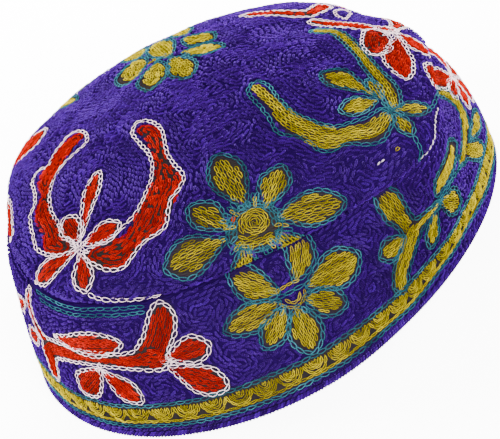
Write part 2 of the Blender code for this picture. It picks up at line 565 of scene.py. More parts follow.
# Crown: the yellow flower in front
NEAR_FLOWER = [
    yellow_petal((0.6, -70), (-2.4, -43.6), 11.8, 7.8, 0.6, 2.6, 1.45),
    yellow_petal((5.6, -73), (15.8, -59.2), 9.8, 7, 0.6, 2.1, 1.4),
    yellow_petal((-6.4, -75), (-15.4, -59.3), 9.4, 6, 0.6, 2.1, 1.4),
    yellow_petal((8.5, -77.6), (30, -79), 12.4, 9.4, 0.56, 1.8, 1.45),
    yellow_petal((-8.5, -77.4), (-29.4, -75.6), 13.6, 9.4, 0.62, 2.2, 1.45),
    yellow_petal((6.6, -82), (12.5, -95), 8.6, 6.4),
    yellow_petal((-4.6, -82), (-9, -95), 8.6, 6.2),
    coil("yellow", (1.4, -76.4), 5.0, 1.4),
    outline(
        blob(
            (9.2, -76.6), (7.2, -72.2), (3.6, -69.8), (-0.8, -69.4),
            (-5, -71.6), (-7.6, -75.6), (-8.4, -80), (-5.2, -84),
            (0.6, -86), (5.4, -84.6), (8.6, -80.6),
        ),
        "teal",
        ground=False,
    ),
    stitched_line(
        "teal", (6.8, -80), (7.2, -76), (5.4, -72), (1.6, -70.6), (-2.6, -71.4), (-4.9, -75), (-6.4, -78.6)
    ),
    stitched_line("yellow", (-6.6, -80.2), (-3.2, -81.8), (0.8, -82.4), (5.4, -82)),
    stitched_line("yellow", (-5.6, -82), (-2.4, -83.3), (1.4, -83.8), (4.8, -83.4)),
    stitched_line("yellow", (-5.2, -78.4), (-3, -80.4), (0.6, -81.4)),
    *rays("teal", (1.2, -77.2), 6.6, 9.6, (12, 40, 88, 104, 152, 172, 192, 214, 236, 262, 290, 318, 348)),
    *rays(
        "teal", (1.2, -77.2), 8.2, 12.2, (28, 36, 68, 76, 112, 120, 134, 146, 206, 222, 268, 276, 312, 328)
    ),
    *rays("indigo", (1.2, -77.2), 8.4, 11.6, (24, 58, 100, 140, 202, 228, 246, 270, 293, 320)),
    *rays("yellow", (1.2, -77.2), 6.2, 10.6, (42, 72, 124, 160, 210, 240, 286, 300, 336)),
    stitched_line("orange", (-4.9, -73.4), (-4.4, -72.3), (-3.8, -71.2)),
]

# Crown: the yellow horn on the right
YELLOW_HORN = [
    outline(
        blob(
            (49, -47.5), (44, -49), (39, -49.3), (34, -49), (30.5, -46.5), (27.5, -42.5), (24.5, -37.5),
            (22.5, -31), (21, -24), (20.3, -17.5), (18.5, -13.5), (15.5, -13.8), (13.8, -18), (14.8, -24),
            (16.5, -31), (17.5, -38), (18, -43), (20.5, -47), (24.5, -50.2), (26, -54), (28.3, -58.3),
            (31.5, -59), (35, -57.7), (39, -59.3), (43, -60.7), (46.5, -58.7), (49, -55), (50.3, -51),
        ),
        "teal",
    ),
    along_limb(
        limb(
            (16.4, -16, 3), (18.2, -23, 3.8), (20.4, -31, 4.6),
            (22.3, -39, 6.2), (25.8, -46.5, 8), (31.2, -53.3, 9.6),
            (38, -54, 7.6), (43.5, -54.8, 9), (48, -51, 5),
        ),
        "yellow",
    ),
    yellow_petal((49.3, -41), (40, -22), 11, 6.6, 0.68, 2.6, 1.35),
    yellow_petal((49, -43.6), (36.6, -42.8), 8, 5.2, 0.58, 1.6),
    yellow_petal((50.6, -44), (51.6, -33.5), 4.8, 2.6, 0.6, 1.5),
    yellow(
        limb(
            (53, -47, 5), (55.4, -40, 7), (56.7, -30, 5.4), (57.6, -20, 4), (57, -10, 3.6), (55.8, 0, 3.8),
            (54.3, 5, 4.2), (52.4, 9.5, 4.8), (50.5, 13.5, 4),
        ),
        1.1,
    ),
    yellow_petal((52, -49.6), (65, -51), 5.4, 3.2, 0.55, 1.6),
    yellow_petal((51.3, -50.8), (54.2, -60), 5, 3, 0.55, 1.6),
    stitched_line("teal", (65, -51), (67.5, -50.2), (70.5, -47.5), (75, -45), (79, -42.5)),
    stitched_line("teal", (54.2, -60), (55.4, -64.5), (56, -70)),
    stitched_line(
        "pale", (69.5, -50.8), (64.6, -55.4), (62, -61), (60, -65.8), (57.6, -69.6), (54.8, -73.2)
    ),
    stitched_line("yellow", (48, -64.5), (49.3, -63.4)),
    stitched_line("pale", (41.8, -68.4), (43.2, -67.4), (44.4, -66.8)),
    *rays("teal", (50.6, -48.8), 0.4, 4.2, (15, 62, 100, 150, 200, 250, 300)),
]

# Crown: the yellow flower behind
FAR_FLOWER = [
    outline(
        blob(
            (-28.6, 42.9), (-27.9, 48), (-25, 53), (-21, 55.4), (-15.5, 55.5), (-12.8, 51), (-12.9, 46),
            (-15.7, 40), (-19.5, 35), (-26, 34.3),
        ),
        "teal",
        ground=False,
    ),
    filling(leaf((-20.8, 35.4), (-18.4, 55), 11.4, 0.5), "yellow"),
    outline(leaf((-9.5, 38), (-17.2, 14.4), 14, 0.55), "teal", ground=False),
    filling(leaf((-10.6, 37.2), (-15, 18), 9, 0.55), "yellow"),
    yellow_petal((-4, 35), (-0.9, 8.6), 11.4, 7.8, 0.58, 2.4, 1.35),
    yellow_petal((0.4, 34.2), (15, 19.8), 8.4, 5.6, 0.56, 2),
    yellow_petal((3.6, 49), (13.4, 31.6), 11, 7.6, 0.55, 2.2, 1.35),
    yellow_petal((-4.3, 36), (-7.4, 69), 11.6, 8.6, 0.5, 2),
    yellow_petal((-14, 56), (-19, 75), 12.4, 8.6, 0.55, 2),
    yellow_petal((5.4, 52.5), (3.6, 74), 9.4, 6.4, 0.55, 2),
    *rays("teal", (-7, 38.5), 1, 4, (60, 120, 165, 200, 340)),
    *rays("yellow", (-10.5, 41), 0.4, 3, (80, 160)),
]

# Crown: the red horn at the right, and red leaves at the left edge
FAR_RED = [
    red(
        [
            limb(
                (28.2, 49.5, 2.6), (31, 46, 4.6), (35.4, 41.5, 5.4),
                (40, 38.2, 5.4), (45.4, 35.4, 5.4), (52, 33.2, 6.4)
            ),
            blob(
                (52, 30.2), (55.5, 30.6), (59.8, 34.2), (62.4, 39),
                (62, 44.4), (57, 44), (53.4, 38.8), (51.2, 35.8)
            ),
        ],
        1.2,
    ),
    red(limb((52.4, 24.6, 3.8), (56.9, 18, 5.2), (60.8, 11, 5.6), (64.6, 4.6, 5.6), (67.4, 0.8, 4.4)), 1.2),
    outline(leaf((64.3, 19), (66.6, 36), 6.4, 0.6), "white"),
    red(
        blob(
            (65, -1), (62.3, -6.9), (60.4, -13.8), (60.9, -20.8), (64.6, -22.3), (69, -20), (71.5, -14.6),
            (71.6, -8), (69.2, -2),
        ),
        1.5,
    ),
    red_petal((75.6, -9), (64.8, -38.6), 10.6),
    red_petal((76, -6.5), (84.6, -23), 8.2),
    red_petal((69.5, 1.5), (76, -6), 5.2),
    red(limb((75, -3, 3), (80, 4, 6), (82, 13, 7.4), (80.5, 23, 7), (77, 31, 4.6)), 1.4),
    red_petal((70, 40), (67.5, 56), 9),
    *rays("white", (73.6, -6.4), 0.4, 4, (30, 80, 130, 200, 250, 290)),
    red_petal((-83.5, 25.2), (-62.8, 37.6), 15, room=1.2),
    red(limb((-90.5, 7, 4.6), (-88.4, -3, 8), (-86.6, -12, 7.4), (-83.8, -21, 4)), 1.4),
    red_petal((74.5, -43), (84, -29), 8),
]

# Crown: what the photograph hides at the back
HIDDEN_CROWN = [
    yellow_petal((-58, 65), (-46.6, 50), 9, 6),
    yellow_petal((-53, 70), (-37, 66.5), 9.5, 6.4),
    yellow_petal((-62, 62), (-72, 47), 9.5, 6.4),
    yellow(ring((-58.5, 67.5), 4.6), 1.2),
    red_petal((31, 83), (20.5, 74), 8),
    red_petal((33, 82), (39, 70), 8.5),
    red_petal((36, 82), (53, 71), 8.5),
    red_petal((28, 85), (10, 85), 8),
    *rays("white", (32, 84), 0.4, 4, (40, 100, 160, 200)),
    *rays("teal", (-58.5, 67.5), 5, 7.5, (0, 250, 300, 330)),
]

# Band: the red branch
RED_BRANCH = [
    red(
        [
            limb(
                (345.2, 16.5, 6.5), (347, 22, 9), (350.5, 27.6, 7.8),
                (359, 30.3, 6.2), (370, 31.2, 5.2), (380, 31.2, 5),
                (390, 30.8, 6), (397, 31, 8.6), (399.5, 30.6, 8.8),
            ),
            limb((396, 31, 9), (400.8, 35.5, 9.2), (404.3, 40.4, 9.4), (406.4, 44, 9)),
            limb((347.6, 29.6, 6), (343.2, 34, 4.6), (343, 40, 4.2), (346.6, 46.8, 2)),
        ],
        1.3,
    ),
    stitched_line("teal", (351, 48.3), (362, 48.3), (376, 48.4), (390, 48.4), (401, 48.2)),
    stitched_line("teal", (354, 46.9), (365, 46.9), (379, 47), (392, 47), (401, 46.8)),
    red_petal((357.4, 35.4), (389.5, 37.4), 8.6, 0.64),
    red_petal((377, 27.6), (362.6, 15.4), 10),
    red_petal((377.4, 27.2), (388.2, 14.6), 9.2),
    red_petal((402.4, 30.2), (418.2, 31.4), 9.4),
    red_petal((402.2, 26.8), (418.5, 14.8), 10.4),
    red_petal((343, 29.6), (330.4, 23.6), 6.4),
    red_petal((338, 39.4), (322.3, 30.8), 5.8),
    *rays("white", (376.9, 27.4), 0.3, 2.6, (80, 200, 340)),
    *rays("white", (402.8, 28.2), 0.3, 2.8, (20, 160, 340)),
]

# Band: the yellow flower
BAND_FLOWER = [
    yellow_petal((446, 35.2), (424.2, 33.6), 9.8, 7, 0.56),
    yellow_petal((446.6, 37.6), (433, 49.2), 10.6, 7.6, 0.56),
    yellow_petal((453.4, 38.6), (464.8, 51.6), 10, 6.6, 0.56),
    yellow_petal((456, 35.6), (478.8, 35.4), 13.8, 10.6, 0.6, 1.8),
    yellow_petal((453.6, 32.8), (466.4, 22.4), 10, 6.8, 0.56),
    yellow_petal((449.8, 31.4), (448.8, 13.6), 12, 8, 0.54),
    yellow_petal((446.8, 33), (434.6, 22.6), 9.4, 6.4, 0.57),
    stitched_line("yellow", (445.4, 38.2), (448, 39), (451.6, 39), (455.2, 38.6)),
    stitched_line("yellow", (445.4, 35), (447, 32.4), (450.4, 31), (453.8, 32.4), (455.4, 35)),
    stitched_line("yellow", (447.6, 35), (449, 33.2), (450.4, 32.6), (452, 33.2), (453.4, 35)),
    stitched_line("teal", (445, 36.6), (450.4, 36.4), (456, 36.6)),
    *rays("teal", (450.4, 35.4), 5.4, 8.2, (8, 52, 146, 172, 214, 240, 262, 284, 312, 344)),
]

# Band: the yellow branch
YELLOW_BRANCH = [
    yellow(
        [
            limb(
                (488.2, 15.2, 6.8), (490.8, 20, 7), (496.5, 25, 6.8),
                (500.4, 28.6, 7), (505.4, 30.4, 5.4), (515.5, 30.9, 2.4),
            ),
            limb((500.6, 29.2, 7.4), (499.4, 35.2, 6.8), (497.7, 41, 8.8), (497.2, 45.8, 9.2)),
        ],
        1.3,
    ),
    yellow_petal((498, 29.8), (485, 29.2), 8.4, 5.8),
    yellow_petal((513.4, 29.8), (505.2, 18.2), 6.6, 4.6),
    yellow_petal((516, 31.2), (529.6, 19.8), 9.6, 6.8),
    outline(
        blob(
            (515.7, 34), (517, 38), (520, 40.2), (527, 40.9), (535, 41),
            (540, 38.8), (545.4, 32.8), (536, 32.8), (524, 33.4)
        ),
        "teal",
        ground=False,
    ),
    along_limb(limb((517.6, 35.4, 3), (522, 36.6, 4.6), (530, 36.6, 4.6), (538, 36.2, 3.6)), "yellow", 1.2),
    stitched_line("teal", (515.5, 30.9), (521, 32), (528, 31.4), (534, 30), (540, 27.6), (544, 25.2)),
    yellow(
        [
            limb(
                (539, 29.4, 2.8), (545, 26.8, 4.4), (552, 25.7, 5.4),
                (560, 26, 5.6), (567.2, 28.2, 7.6), (569.6, 33, 7.2),
                (567, 38.2, 5.6), (562.8, 42.4, 4.2), (558, 45.6, 2.8),
            ),
            limb(
                (551, 25.4, 5.8), (556, 21.6, 6.8),
                (561.6, 17.9, 7.4), (566.4, 15.2, 6.8),
                (569, 13.9, 4.4)
            ),
        ],
        1.2,
    ),
    yellow_petal((562, 22.4), (587, 19), 6.4, 4.2, 0.62),
    *rays("teal", (515.6, 31), 0.3, 2.8, (70, 160, 250, 320)),
]

# Band: the red flower
RED_FLOWER = [
    red_petal((583.8, 38.4), (560.2, 50.8), 9.8),
    red_petal((584.4, 37), (569.4, 37.2), 6.6),
    red_petal((584.6, 36), (578.4, 25.8), 7.6),
    red_petal((587.4, 36.8), (605.2, 33), 8.2),
    red_petal((586.8, 39), (600.2, 49.2), 8.6),
    red_petal((586.4, 35.6), (593.2, 21.3), 8.6),
    *rays("white", (585.6, 37.4), 0.4, 3.4, (10, 60, 120, 170, 230, 300)),
]


def moved(parts, x):
    return [part.moved(x) for part in parts]


CROWN_PARTS = RED_HORN + NEAR_FLOWER + YELLOW_HORN + FAR_FLOWER + FAR_RED + HIDDEN_CROWN
BAND_PARTS = RED_BRANCH + BAND_FLOWER + YELLOW_BRANCH + RED_FLOWER
# The rest of the band, which the photograph hides, repeats them
BAND_PARTS += moved(BAND_FLOWER, -404.0) + moved(RED_BRANCH, -248.0)
BAND_PARTS += moved(YELLOW_BRANCH + RED_FLOWER, -306.0)


def border_line(offset, thread):
    """A stitched line all the way round the band, at a distance from the border's middle."""
    x = np.linspace(0, BAND_LENGTH, 600)
    heights = border_height(x)
    for _ in range(12):
        heights[1:-1] = (heights[:-2] + 2 * heights[1:-1] + heights[2:]) / 4
    return Part(np.stack([x, heights + offset], 1), thread, ground=True, closed=False)


BORDER_LINES = ((TEAL_OVER, "teal"), (TEAL_UNDER, "teal"), (YELLOW_FOOT, "yellow"))
BAND_PARTS += [border_line(offset, thread) for offset, thread in BORDER_LINES]

# The border's fans: half width, top and foot of each bowl of stitches, over the border's middle
SCALLOPS = 66
BOWLS = ((4.1, 2.6, -1.3), (2.9, 2.8, -0.1), (1.7, 3.0, 1.0), (0.6, 3.0, 2.0))
# A bowl's half width at its waist and at its foot, as shares of that at its top
BOWL_WAIST, BOWL_FOOT = 0.9, 0.45
# How far the fans and their bowls stray
FAN_STRAY, BOWL_STRAY = 0.3, 0.15


def scallop_rows():
    """The border's fans: bowls of nested rows, with ground cloth between them."""
    rows = []
    pitch = BAND_LENGTH / SCALLOPS
    for index in range(SCALLOPS):
        middle = (index + 0.5) * pitch + CHANCE.uniform(-FAN_STRAY, FAN_STRAY)
        for half, top, foot in BOWLS:
            waist = (top + foot) / 2
            knots = (
                (-half, top), (-half * BOWL_WAIST, waist), (-half * BOWL_FOOT, foot),
                (half * BOWL_FOOT, foot), (half * BOWL_WAIST, waist), (half, top),
            )
            bowl = through(knots, closed=False) + CHANCE.uniform(-BOWL_STRAY, BOWL_STRAY, 2)
            x = middle + bowl[:, 0]
            rows.append((np.stack([x, border_height(x) + bowl[:, 1]], 1), False))
    return rows


# Threads: length and width of a stitch, thickness of the thread, how far apart its rows lie, points along
# and round a stitch, how far it reaches into the next, how unevenly it slants and how far it leans over
Thread = namedtuple("Thread", "pitch width radius spacing along round overlap slant lean", defaults=(0.0,))
THREADS = {
    "indigo": Thread(2.8, 1.04, 0.22, 1.3, 7, 3, 1.14, 0.08, 0.28),
    "red": Thread(2.6, 1.1, 0.2, 1.28, 8, 3, 1.15, 0.08, 0.08),
    "yellow": Thread(2.9, 1.36, 0.17, 1.42, 8, 3, 1.18, 0.06, 0.05),
    "fine_yellow": Thread(2.6, 1.12, 0.165, 1.18, 8, 3, 1.18, 0.06, 0.05),
    "orange": Thread(2.4, 1.4, 0.26, 1.6, 8, 3, 1.2, 0.0),
    "white": Thread(2.9, 1.62, 0.125, 1.8, 8, 4, 1.16, 0.08),
    "teal": Thread(3.0, 1.68, 0.17, 1.7, 8, 4, 1.2, 0.09),
    "pale": Thread(2.1, 0.66, 0.15, 1.6, 8, 3, 0.85, 0.05, 0.2),
}
OUTLINE_THREADS = ("white", "teal", "pale", "orange")
LINE_HALF_WIDTH = 0.78
BARE, GROUND = 0, 1
FILLS = ("red", "yellow")
FILL_ZONES = (2, 3)
CELL = 0.5
FINE_STEP = 0.3
FAR = 1e3
# How near a row comes to a cloth's edge, and how far an outline runs past it
ROW_CLEARANCE, OUTLINE_SLACK = 0.3, 0.4
# The ground's whorls: their size, how round their corners are, and how far and in what waves their
# borders wander
WHORL_SPACING = 22.0
WHORL_CORNER = 1.2
WHORL_BEND, WHORL_WAVES = 1.3, (6.3, 5.1)
# Their middles spread over the places with this much room, one place in so many, in so many rounds
WHORL_ROOM, WHORL_THINNING, WHORL_ROUNDS = 2.5, 4, 8
WHORL_CROWDING = 1.15
# How far the rows' direction is smoothed, in the ground and in the figures
GROUND_BLUR, FILL_BLUR = 6, 36
GROUND_MARGIN, FILL_MARGIN = 0.45, 0.2
# How many rows run round inside a figure's edge before the rest lie along it
NESTED_ROWS = 2
# How near a row's seed and its points come to other rows, as shares of the spacing, in each pass
GROUND_PASSES = ((0.93, 0.8), (0.84, 0.74), (0.78, 0.7))
FILL_PASSES = ((0.93, 0.78), (0.8, 0.68), (0.66, 0.6))
# Work on many places is done so many at a time
BATCH = 20000


def evenly(shape, step):
    """A closed outline with its points at even steps."""
    shape = np.concatenate([shape, shape[:1]])
    reach = reach_along(shape)
    places = np.linspace(0, reach[-1], int(reach[-1] / step), endpoint=False)
    return read_line(shape, reach, places)


def distances(points, curve, closed):
    """How far each point is from a curve."""
    start = curve if closed else curve[:-1]
    end = np.roll(curve, -1, 0) if closed else curve[1:]
    leg = end - start
    length = np.maximum((leg**2).sum(1), 1e-9)
    best = []
    for low in range(0, len(points), BATCH):
        part = points[low : low + BATCH, None]
        share = np.clip(((part - start) * leg).sum(2) / length, 0, 1)
        gap = part - start - share[..., None] * leg
        best.append(np.sqrt((gap**2).sum(2).min(1)))
    return np.concatenate(best)


def blurred(grid, reach, periodic):
    """A grid smoothed over about reach cells."""
    for axis in (0, 1):
        for _ in range(reach):
            before, after = np.roll(grid, 1, axis), np.roll(grid, -1, axis)
            if not (periodic and axis == 0):
                for edge, source in ((0, 0), (-1, -1)):
                    if axis == 0:
                        before[0], after[-1] = grid[0], grid[-1]
                    else:
                        before[:, 0], after[:, -1] = grid[:, 0], grid[:, -1]
            grid = (before + 2 * grid + after) / 4
    return grid


class Field:
    """What is stitched where on a chart, how much room there is, and which way the rows run."""

    REACH = 14.0

    def __init__(self, chart, parts):
        self.chart = chart
        span = chart.high - chart.low
        self.counts = np.ceil(span / CELL).astype(int)
        self.cell = np.array((chart.period / self.counts[0] if chart.period else CELL, CELL))
        x = chart.low[0] + (np.arange(self.counts[0]) + 0.5) * self.cell[0]
        y = chart.low[1] + (np.arange(self.counts[1]) + 0.5) * self.cell[1]
        x, y = np.meshgrid(x, y, indexing="ij")
        self.places = np.stack([x.ravel(), y.ravel()], 1)
        self.lines = []
        self.lay(parts)
        self.aim()

    def near(self, shape):
        """The cells near a shape, with their places brought to the shape's side of a strip's join."""
        low, high = shape.min(0) - self.REACH, shape.max(0) + self.REACH
        found = []
        shifts = (-self.chart.period, 0.0, self.chart.period) if self.chart.period else (0.0,)
        for shift in shifts:
            places = self.places + np.array((shift, 0.0))
            cells = np.flatnonzero(((places >= low) & (places <= high)).all(1))
            if len(cells):
                found.append((cells, places[cells]))
        return found

    def lay(self, parts):
        x, y = self.places.T
        edge_room = self.chart.edges(x, y)
        line_room = np.full(len(x), FAR)
        ground_room = edge_room.copy()
        inner_rooms = [np.full(len(x), -2.0) for _ in FILLS]
        self.zone = np.where((edge_room > 0) & self.chart.open_ground(x, y), GROUND, BARE)
        for part in parts:
            edges = self.trimmed(part)
            if part.line:
                for run, closed in self.clipped(edges):
                    self.lines.append((part.line, run, closed))
                    for cells, places in self.near(run):
                        room = distances(places, run, closed) - LINE_HALF_WIDTH
                        line_room[cells] = np.minimum(line_room[cells], room)
            for thread, run in part.rows:
                run = run[self.chart.edges(run[:, 0], run[:, 1]) > ROW_CLEARANCE]
                if len(run) > 4:
                    self.lines.append((thread, run, False))
            if not part.closed or (part.ground and not part.fill):
                continue
            depth = self.depth(part.shapes, edges)
            self.zone[depth > 0] = BARE
            ground_room = np.minimum(ground_room, -depth)
            inner_rooms = [np.minimum(room, -depth) for room in inner_rooms]
            if part.fill:
                number = FILLS.index(part.fill)
                depth = depth - part.gap
                self.zone[depth > 0] = FILL_ZONES[number]
                inner_rooms[number] = np.maximum(inner_rooms[number], depth)
        ground_room = np.where(self.zone == GROUND, np.minimum(ground_room, line_room), -1.0)
        whorl_foot = GROUND_MARGIN + 1.5 * THREADS["indigo"].spacing
        self.room = {GROUND: np.minimum(ground_room, whorl_foot + self.whorls(ground_room))}
        for zone, room in zip(FILL_ZONES, inner_rooms):
            self.room[zone] = np.minimum(np.minimum(line_room, edge_room), room)
        # The cloth is painted dark where the ground is stitched, for the indigo thread beneath it and as
        # painted shade between the stitches, and along the seam, as painted shade in its crease
        sewn_or_shaded = (self.zone == GROUND) | (self.chart.seam_room(x, y) < 2 * SEAM_ROOM)
        self.sewn_or_shaded = blurred(sewn_or_shaded.reshape(self.counts).astype(float), 2, bool(self.chart.period))

    def on_cloth(self, run):
        return self.chart.edges(run[:, 0], run[:, 1]) > -OUTLINE_SLACK

    def clipped(self, runs):
        """Lines without the stretches that run off the cloth."""
        kept = []
        for run, closed in runs:
            if closed and not self.on_cloth(run).all():
                run = evenly(run, FINE_STEP)
            kept += cut(run, closed, self.on_cloth(run))
        return kept

    def depth(self, shapes, edges):
        """How deep each cell lies inside outlines that run together, negative outside them."""
        away = np.full(len(self.places), FAR)
        within = np.full(len(self.places), False)
        for run, closed in edges:
            for cells, places in self.near(run):
                away[cells] = np.minimum(away[cells], distances(places, run, closed))
        for shape in shapes:
            for cells, places in self.near(shape):
                within[cells] |= inside(places, shape)
        return np.where(within, away, -away)

    def trimmed(self, part):
        """A part's outlines without the stretches that lie inside its other outlines."""
        if not part.closed:
            return [(shape, False) for shape in part.shapes]
        if len(part.shapes) == 1:
            return [(part.shapes[0], True)]
        runs = []
        for index, shape in enumerate(part.shapes):
            shape = evenly(shape, FINE_STEP)
            covered = np.zeros(len(shape), bool)
            for other in part.shapes[:index] + part.shapes[index + 1 :]:
                covered |= inside(shape, other)
            runs += cut(shape, True, ~covered, 4)
        return runs

    def whorls(self, room):
        """How deep each place lies in its whorl of rows: nought on the line between two whorls."""
        x, y = self.places.T
        waves = np.stack([np.sin(y / WHORL_WAVES[0] + 0.7), np.sin(x / WHORL_WAVES[1])], 1)
        bent = self.places + WHORL_BEND * waves
        open_cells = np.flatnonzero(room > WHORL_ROOM)
        places = bent[open_cells[::WHORL_THINNING]]
        area = len(open_cells) * self.cell[0] * self.cell[1]
        count = max(1, round(area / WHORL_SPACING**2 * WHORL_CROWDING))
        middles = places[CHANCE.choice(len(places), count, replace=False)]
        for _ in range(WHORL_ROUNDS):
            nearest = [self.away(part, middles).argmin(1) for part in self.batches(places)]
            nearest = np.concatenate(nearest)
            for index in range(count):
                own = places[nearest == index]
                if len(own):
                    middles[index] = own.mean(0)
        apart = self.away(middles, middles)
        depths = []
        for part in self.batches(bent):
            square = self.away(part, middles) ** 2
            own = square.argmin(1)
            gap = square - square[np.arange(len(part)), own][:, None]
            border = np.where(apart[own] > 0, gap / np.maximum(2 * apart[own], 1e-6), FAR)
            depths.append(-WHORL_CORNER * np.log(np.exp(-border / WHORL_CORNER).sum(1)))
        return np.concatenate(depths)

    def batches(self, places):
        return [places[low : low + BATCH] for low in range(0, len(places), BATCH)]

    def away(self, places, middles):
        gap = places[:, None] - middles
        if self.chart.period:
            gap[..., 0] -= np.round(gap[..., 0] / self.chart.period) * self.chart.period
        return np.sqrt((gap**2).sum(2))

    def aim(self):
        """The rows' direction, across the slope of the room that they have."""
        wraps = bool(self.chart.period)
        across = along = 0.0
        for zone in (GROUND, *FILL_ZONES):
            passes = GROUND_BLUR if zone == GROUND else FILL_BLUR
            own = (self.zone == zone).reshape(self.counts)
            depth = blurred(np.where(own, self.room[zone].reshape(self.counts), 0.0), 3, wraps)
            if wraps:
                slope_x = (np.roll(depth, -1, 0) - np.roll(depth, 1, 0)) / (2 * self.cell[0])
            else:
                slope_x = np.gradient(depth, self.cell[0], axis=0)
            slope_y = np.gradient(depth, self.cell[1], axis=1)
            turn = np.arctan2(slope_x, -slope_y)
            across = np.where(own, blurred(np.cos(2 * turn) * own, passes, wraps), across)
            along = np.where(own, blurred(np.sin(2 * turn) * own, passes, wraps), along)
        turn = np.arctan2(along, across) / 2
        self.run_x = np.cos(turn).tolist()
        self.run_y = np.sin(turn).tolist()
        self.zone_rows = self.zone.reshape(self.counts).tolist()

    def stitched(self, x, y):
        """How fully the ground is stitched at some places, nought to one, with the seam's strip counted in
        as painted shade in its crease.
        """
        i = np.floor((x - self.chart.low[0]) / self.cell[0]).astype(int)
        j = np.floor((y - self.chart.low[1]) / self.cell[1]).astype(int)
        i = i % self.counts[0] if self.chart.period else np.clip(i, 0, self.counts[0] - 1)
        return self.sewn_or_shaded[i, np.clip(j, 0, self.counts[1] - 1)]


def level_lines(grid, level, low, cell, period):
    """The lines along which a grid of values passes a level, and whether each closes on itself."""
    number = np.arange(grid.size).reshape(grid.shape)
    if period:
        grid = np.concatenate([grid, grid[:1]])
        number = np.concatenate([number, number[:1]])
    high = grid > level
    spots = {}
    changes = (high[:-1] != high[1:], high[:, :-1] != high[:, 1:])
    for axis, change in enumerate(changes):
        i, j = np.nonzero(change)
        step = np.array((1 - axis, axis))
        near, far = grid[i, j], grid[i + step[0], j + step[1]]
        share = (level - near) / (far - near)
        x = low[0] + (i + 0.5 + share * step[0]) * cell[0]
        y = low[1] + (j + 0.5 + share * step[1]) * cell[1]
        spots.update(zip((2 * number[i, j] + axis).tolist(), zip(x.tolist(), y.tolist())))
    sides = (
        high[:-1, :-1] != high[1:, :-1],
        high[1:, :-1] != high[1:, 1:],
        high[:-1, 1:] != high[1:, 1:],
        high[:-1, :-1] != high[:-1, 1:],
    )
    crossed = np.stack(sides, -1)
    i, j = np.nonzero(crossed.any(-1))
    here = 2 * number[i, j]
    edges = np.stack([here, 2 * number[i + 1, j] + 1, 2 * number[i, j + 1], here + 1], 1)
    links = {}
    for a, b in edges[crossed[i, j]].reshape(-1, 2).tolist():
        links.setdefault(a, []).append(b)
        links.setdefault(b, []).append(a)
    lines, seen = [], set()
    for start in [edge for edge, ends in links.items() if len(ends) == 1] + list(links):
        if start in seen:
            continue
        line = []
        onward = [start]
        while onward:
            here = onward[0]
            seen.add(here)
            line.append(here)
            onward = [edge for edge in links[here] if edge not in seen]
        if len(line) > 3:
            lines.append((np.array([spots[edge] for edge in line]), start in links[line[-1]]))
    return lines


def eased(points, closed, step, period):
    """A line from a grid without its small kinks, its points at even steps."""
    if period:
        gap = np.diff(points[:, 0])
        gap -= np.round(gap / period) * period
        points = np.stack([points[0, 0] + np.concatenate([[0], np.cumsum(gap)]), points[:, 1]], 1)
    if closed:
        turns = np.round((points[-1, 0] - points[0, 0]) / period) * period if period else 0.0
        points = np.concatenate([points, points[:1] + np.array((turns, 0.0))])
    for _ in range(3):
        points[1:-1] = (points[:-2] + 2 * points[1:-1] + points[2:]) / 4
    reach = reach_along(points)
    count = max(int(round(reach[-1] / step)), 2)
    points = read_line(points, reach, np.linspace(0, reach[-1], count, endpoint=not closed))
    return np.roll(points, CHANCE.integers(count), 0) if closed else points


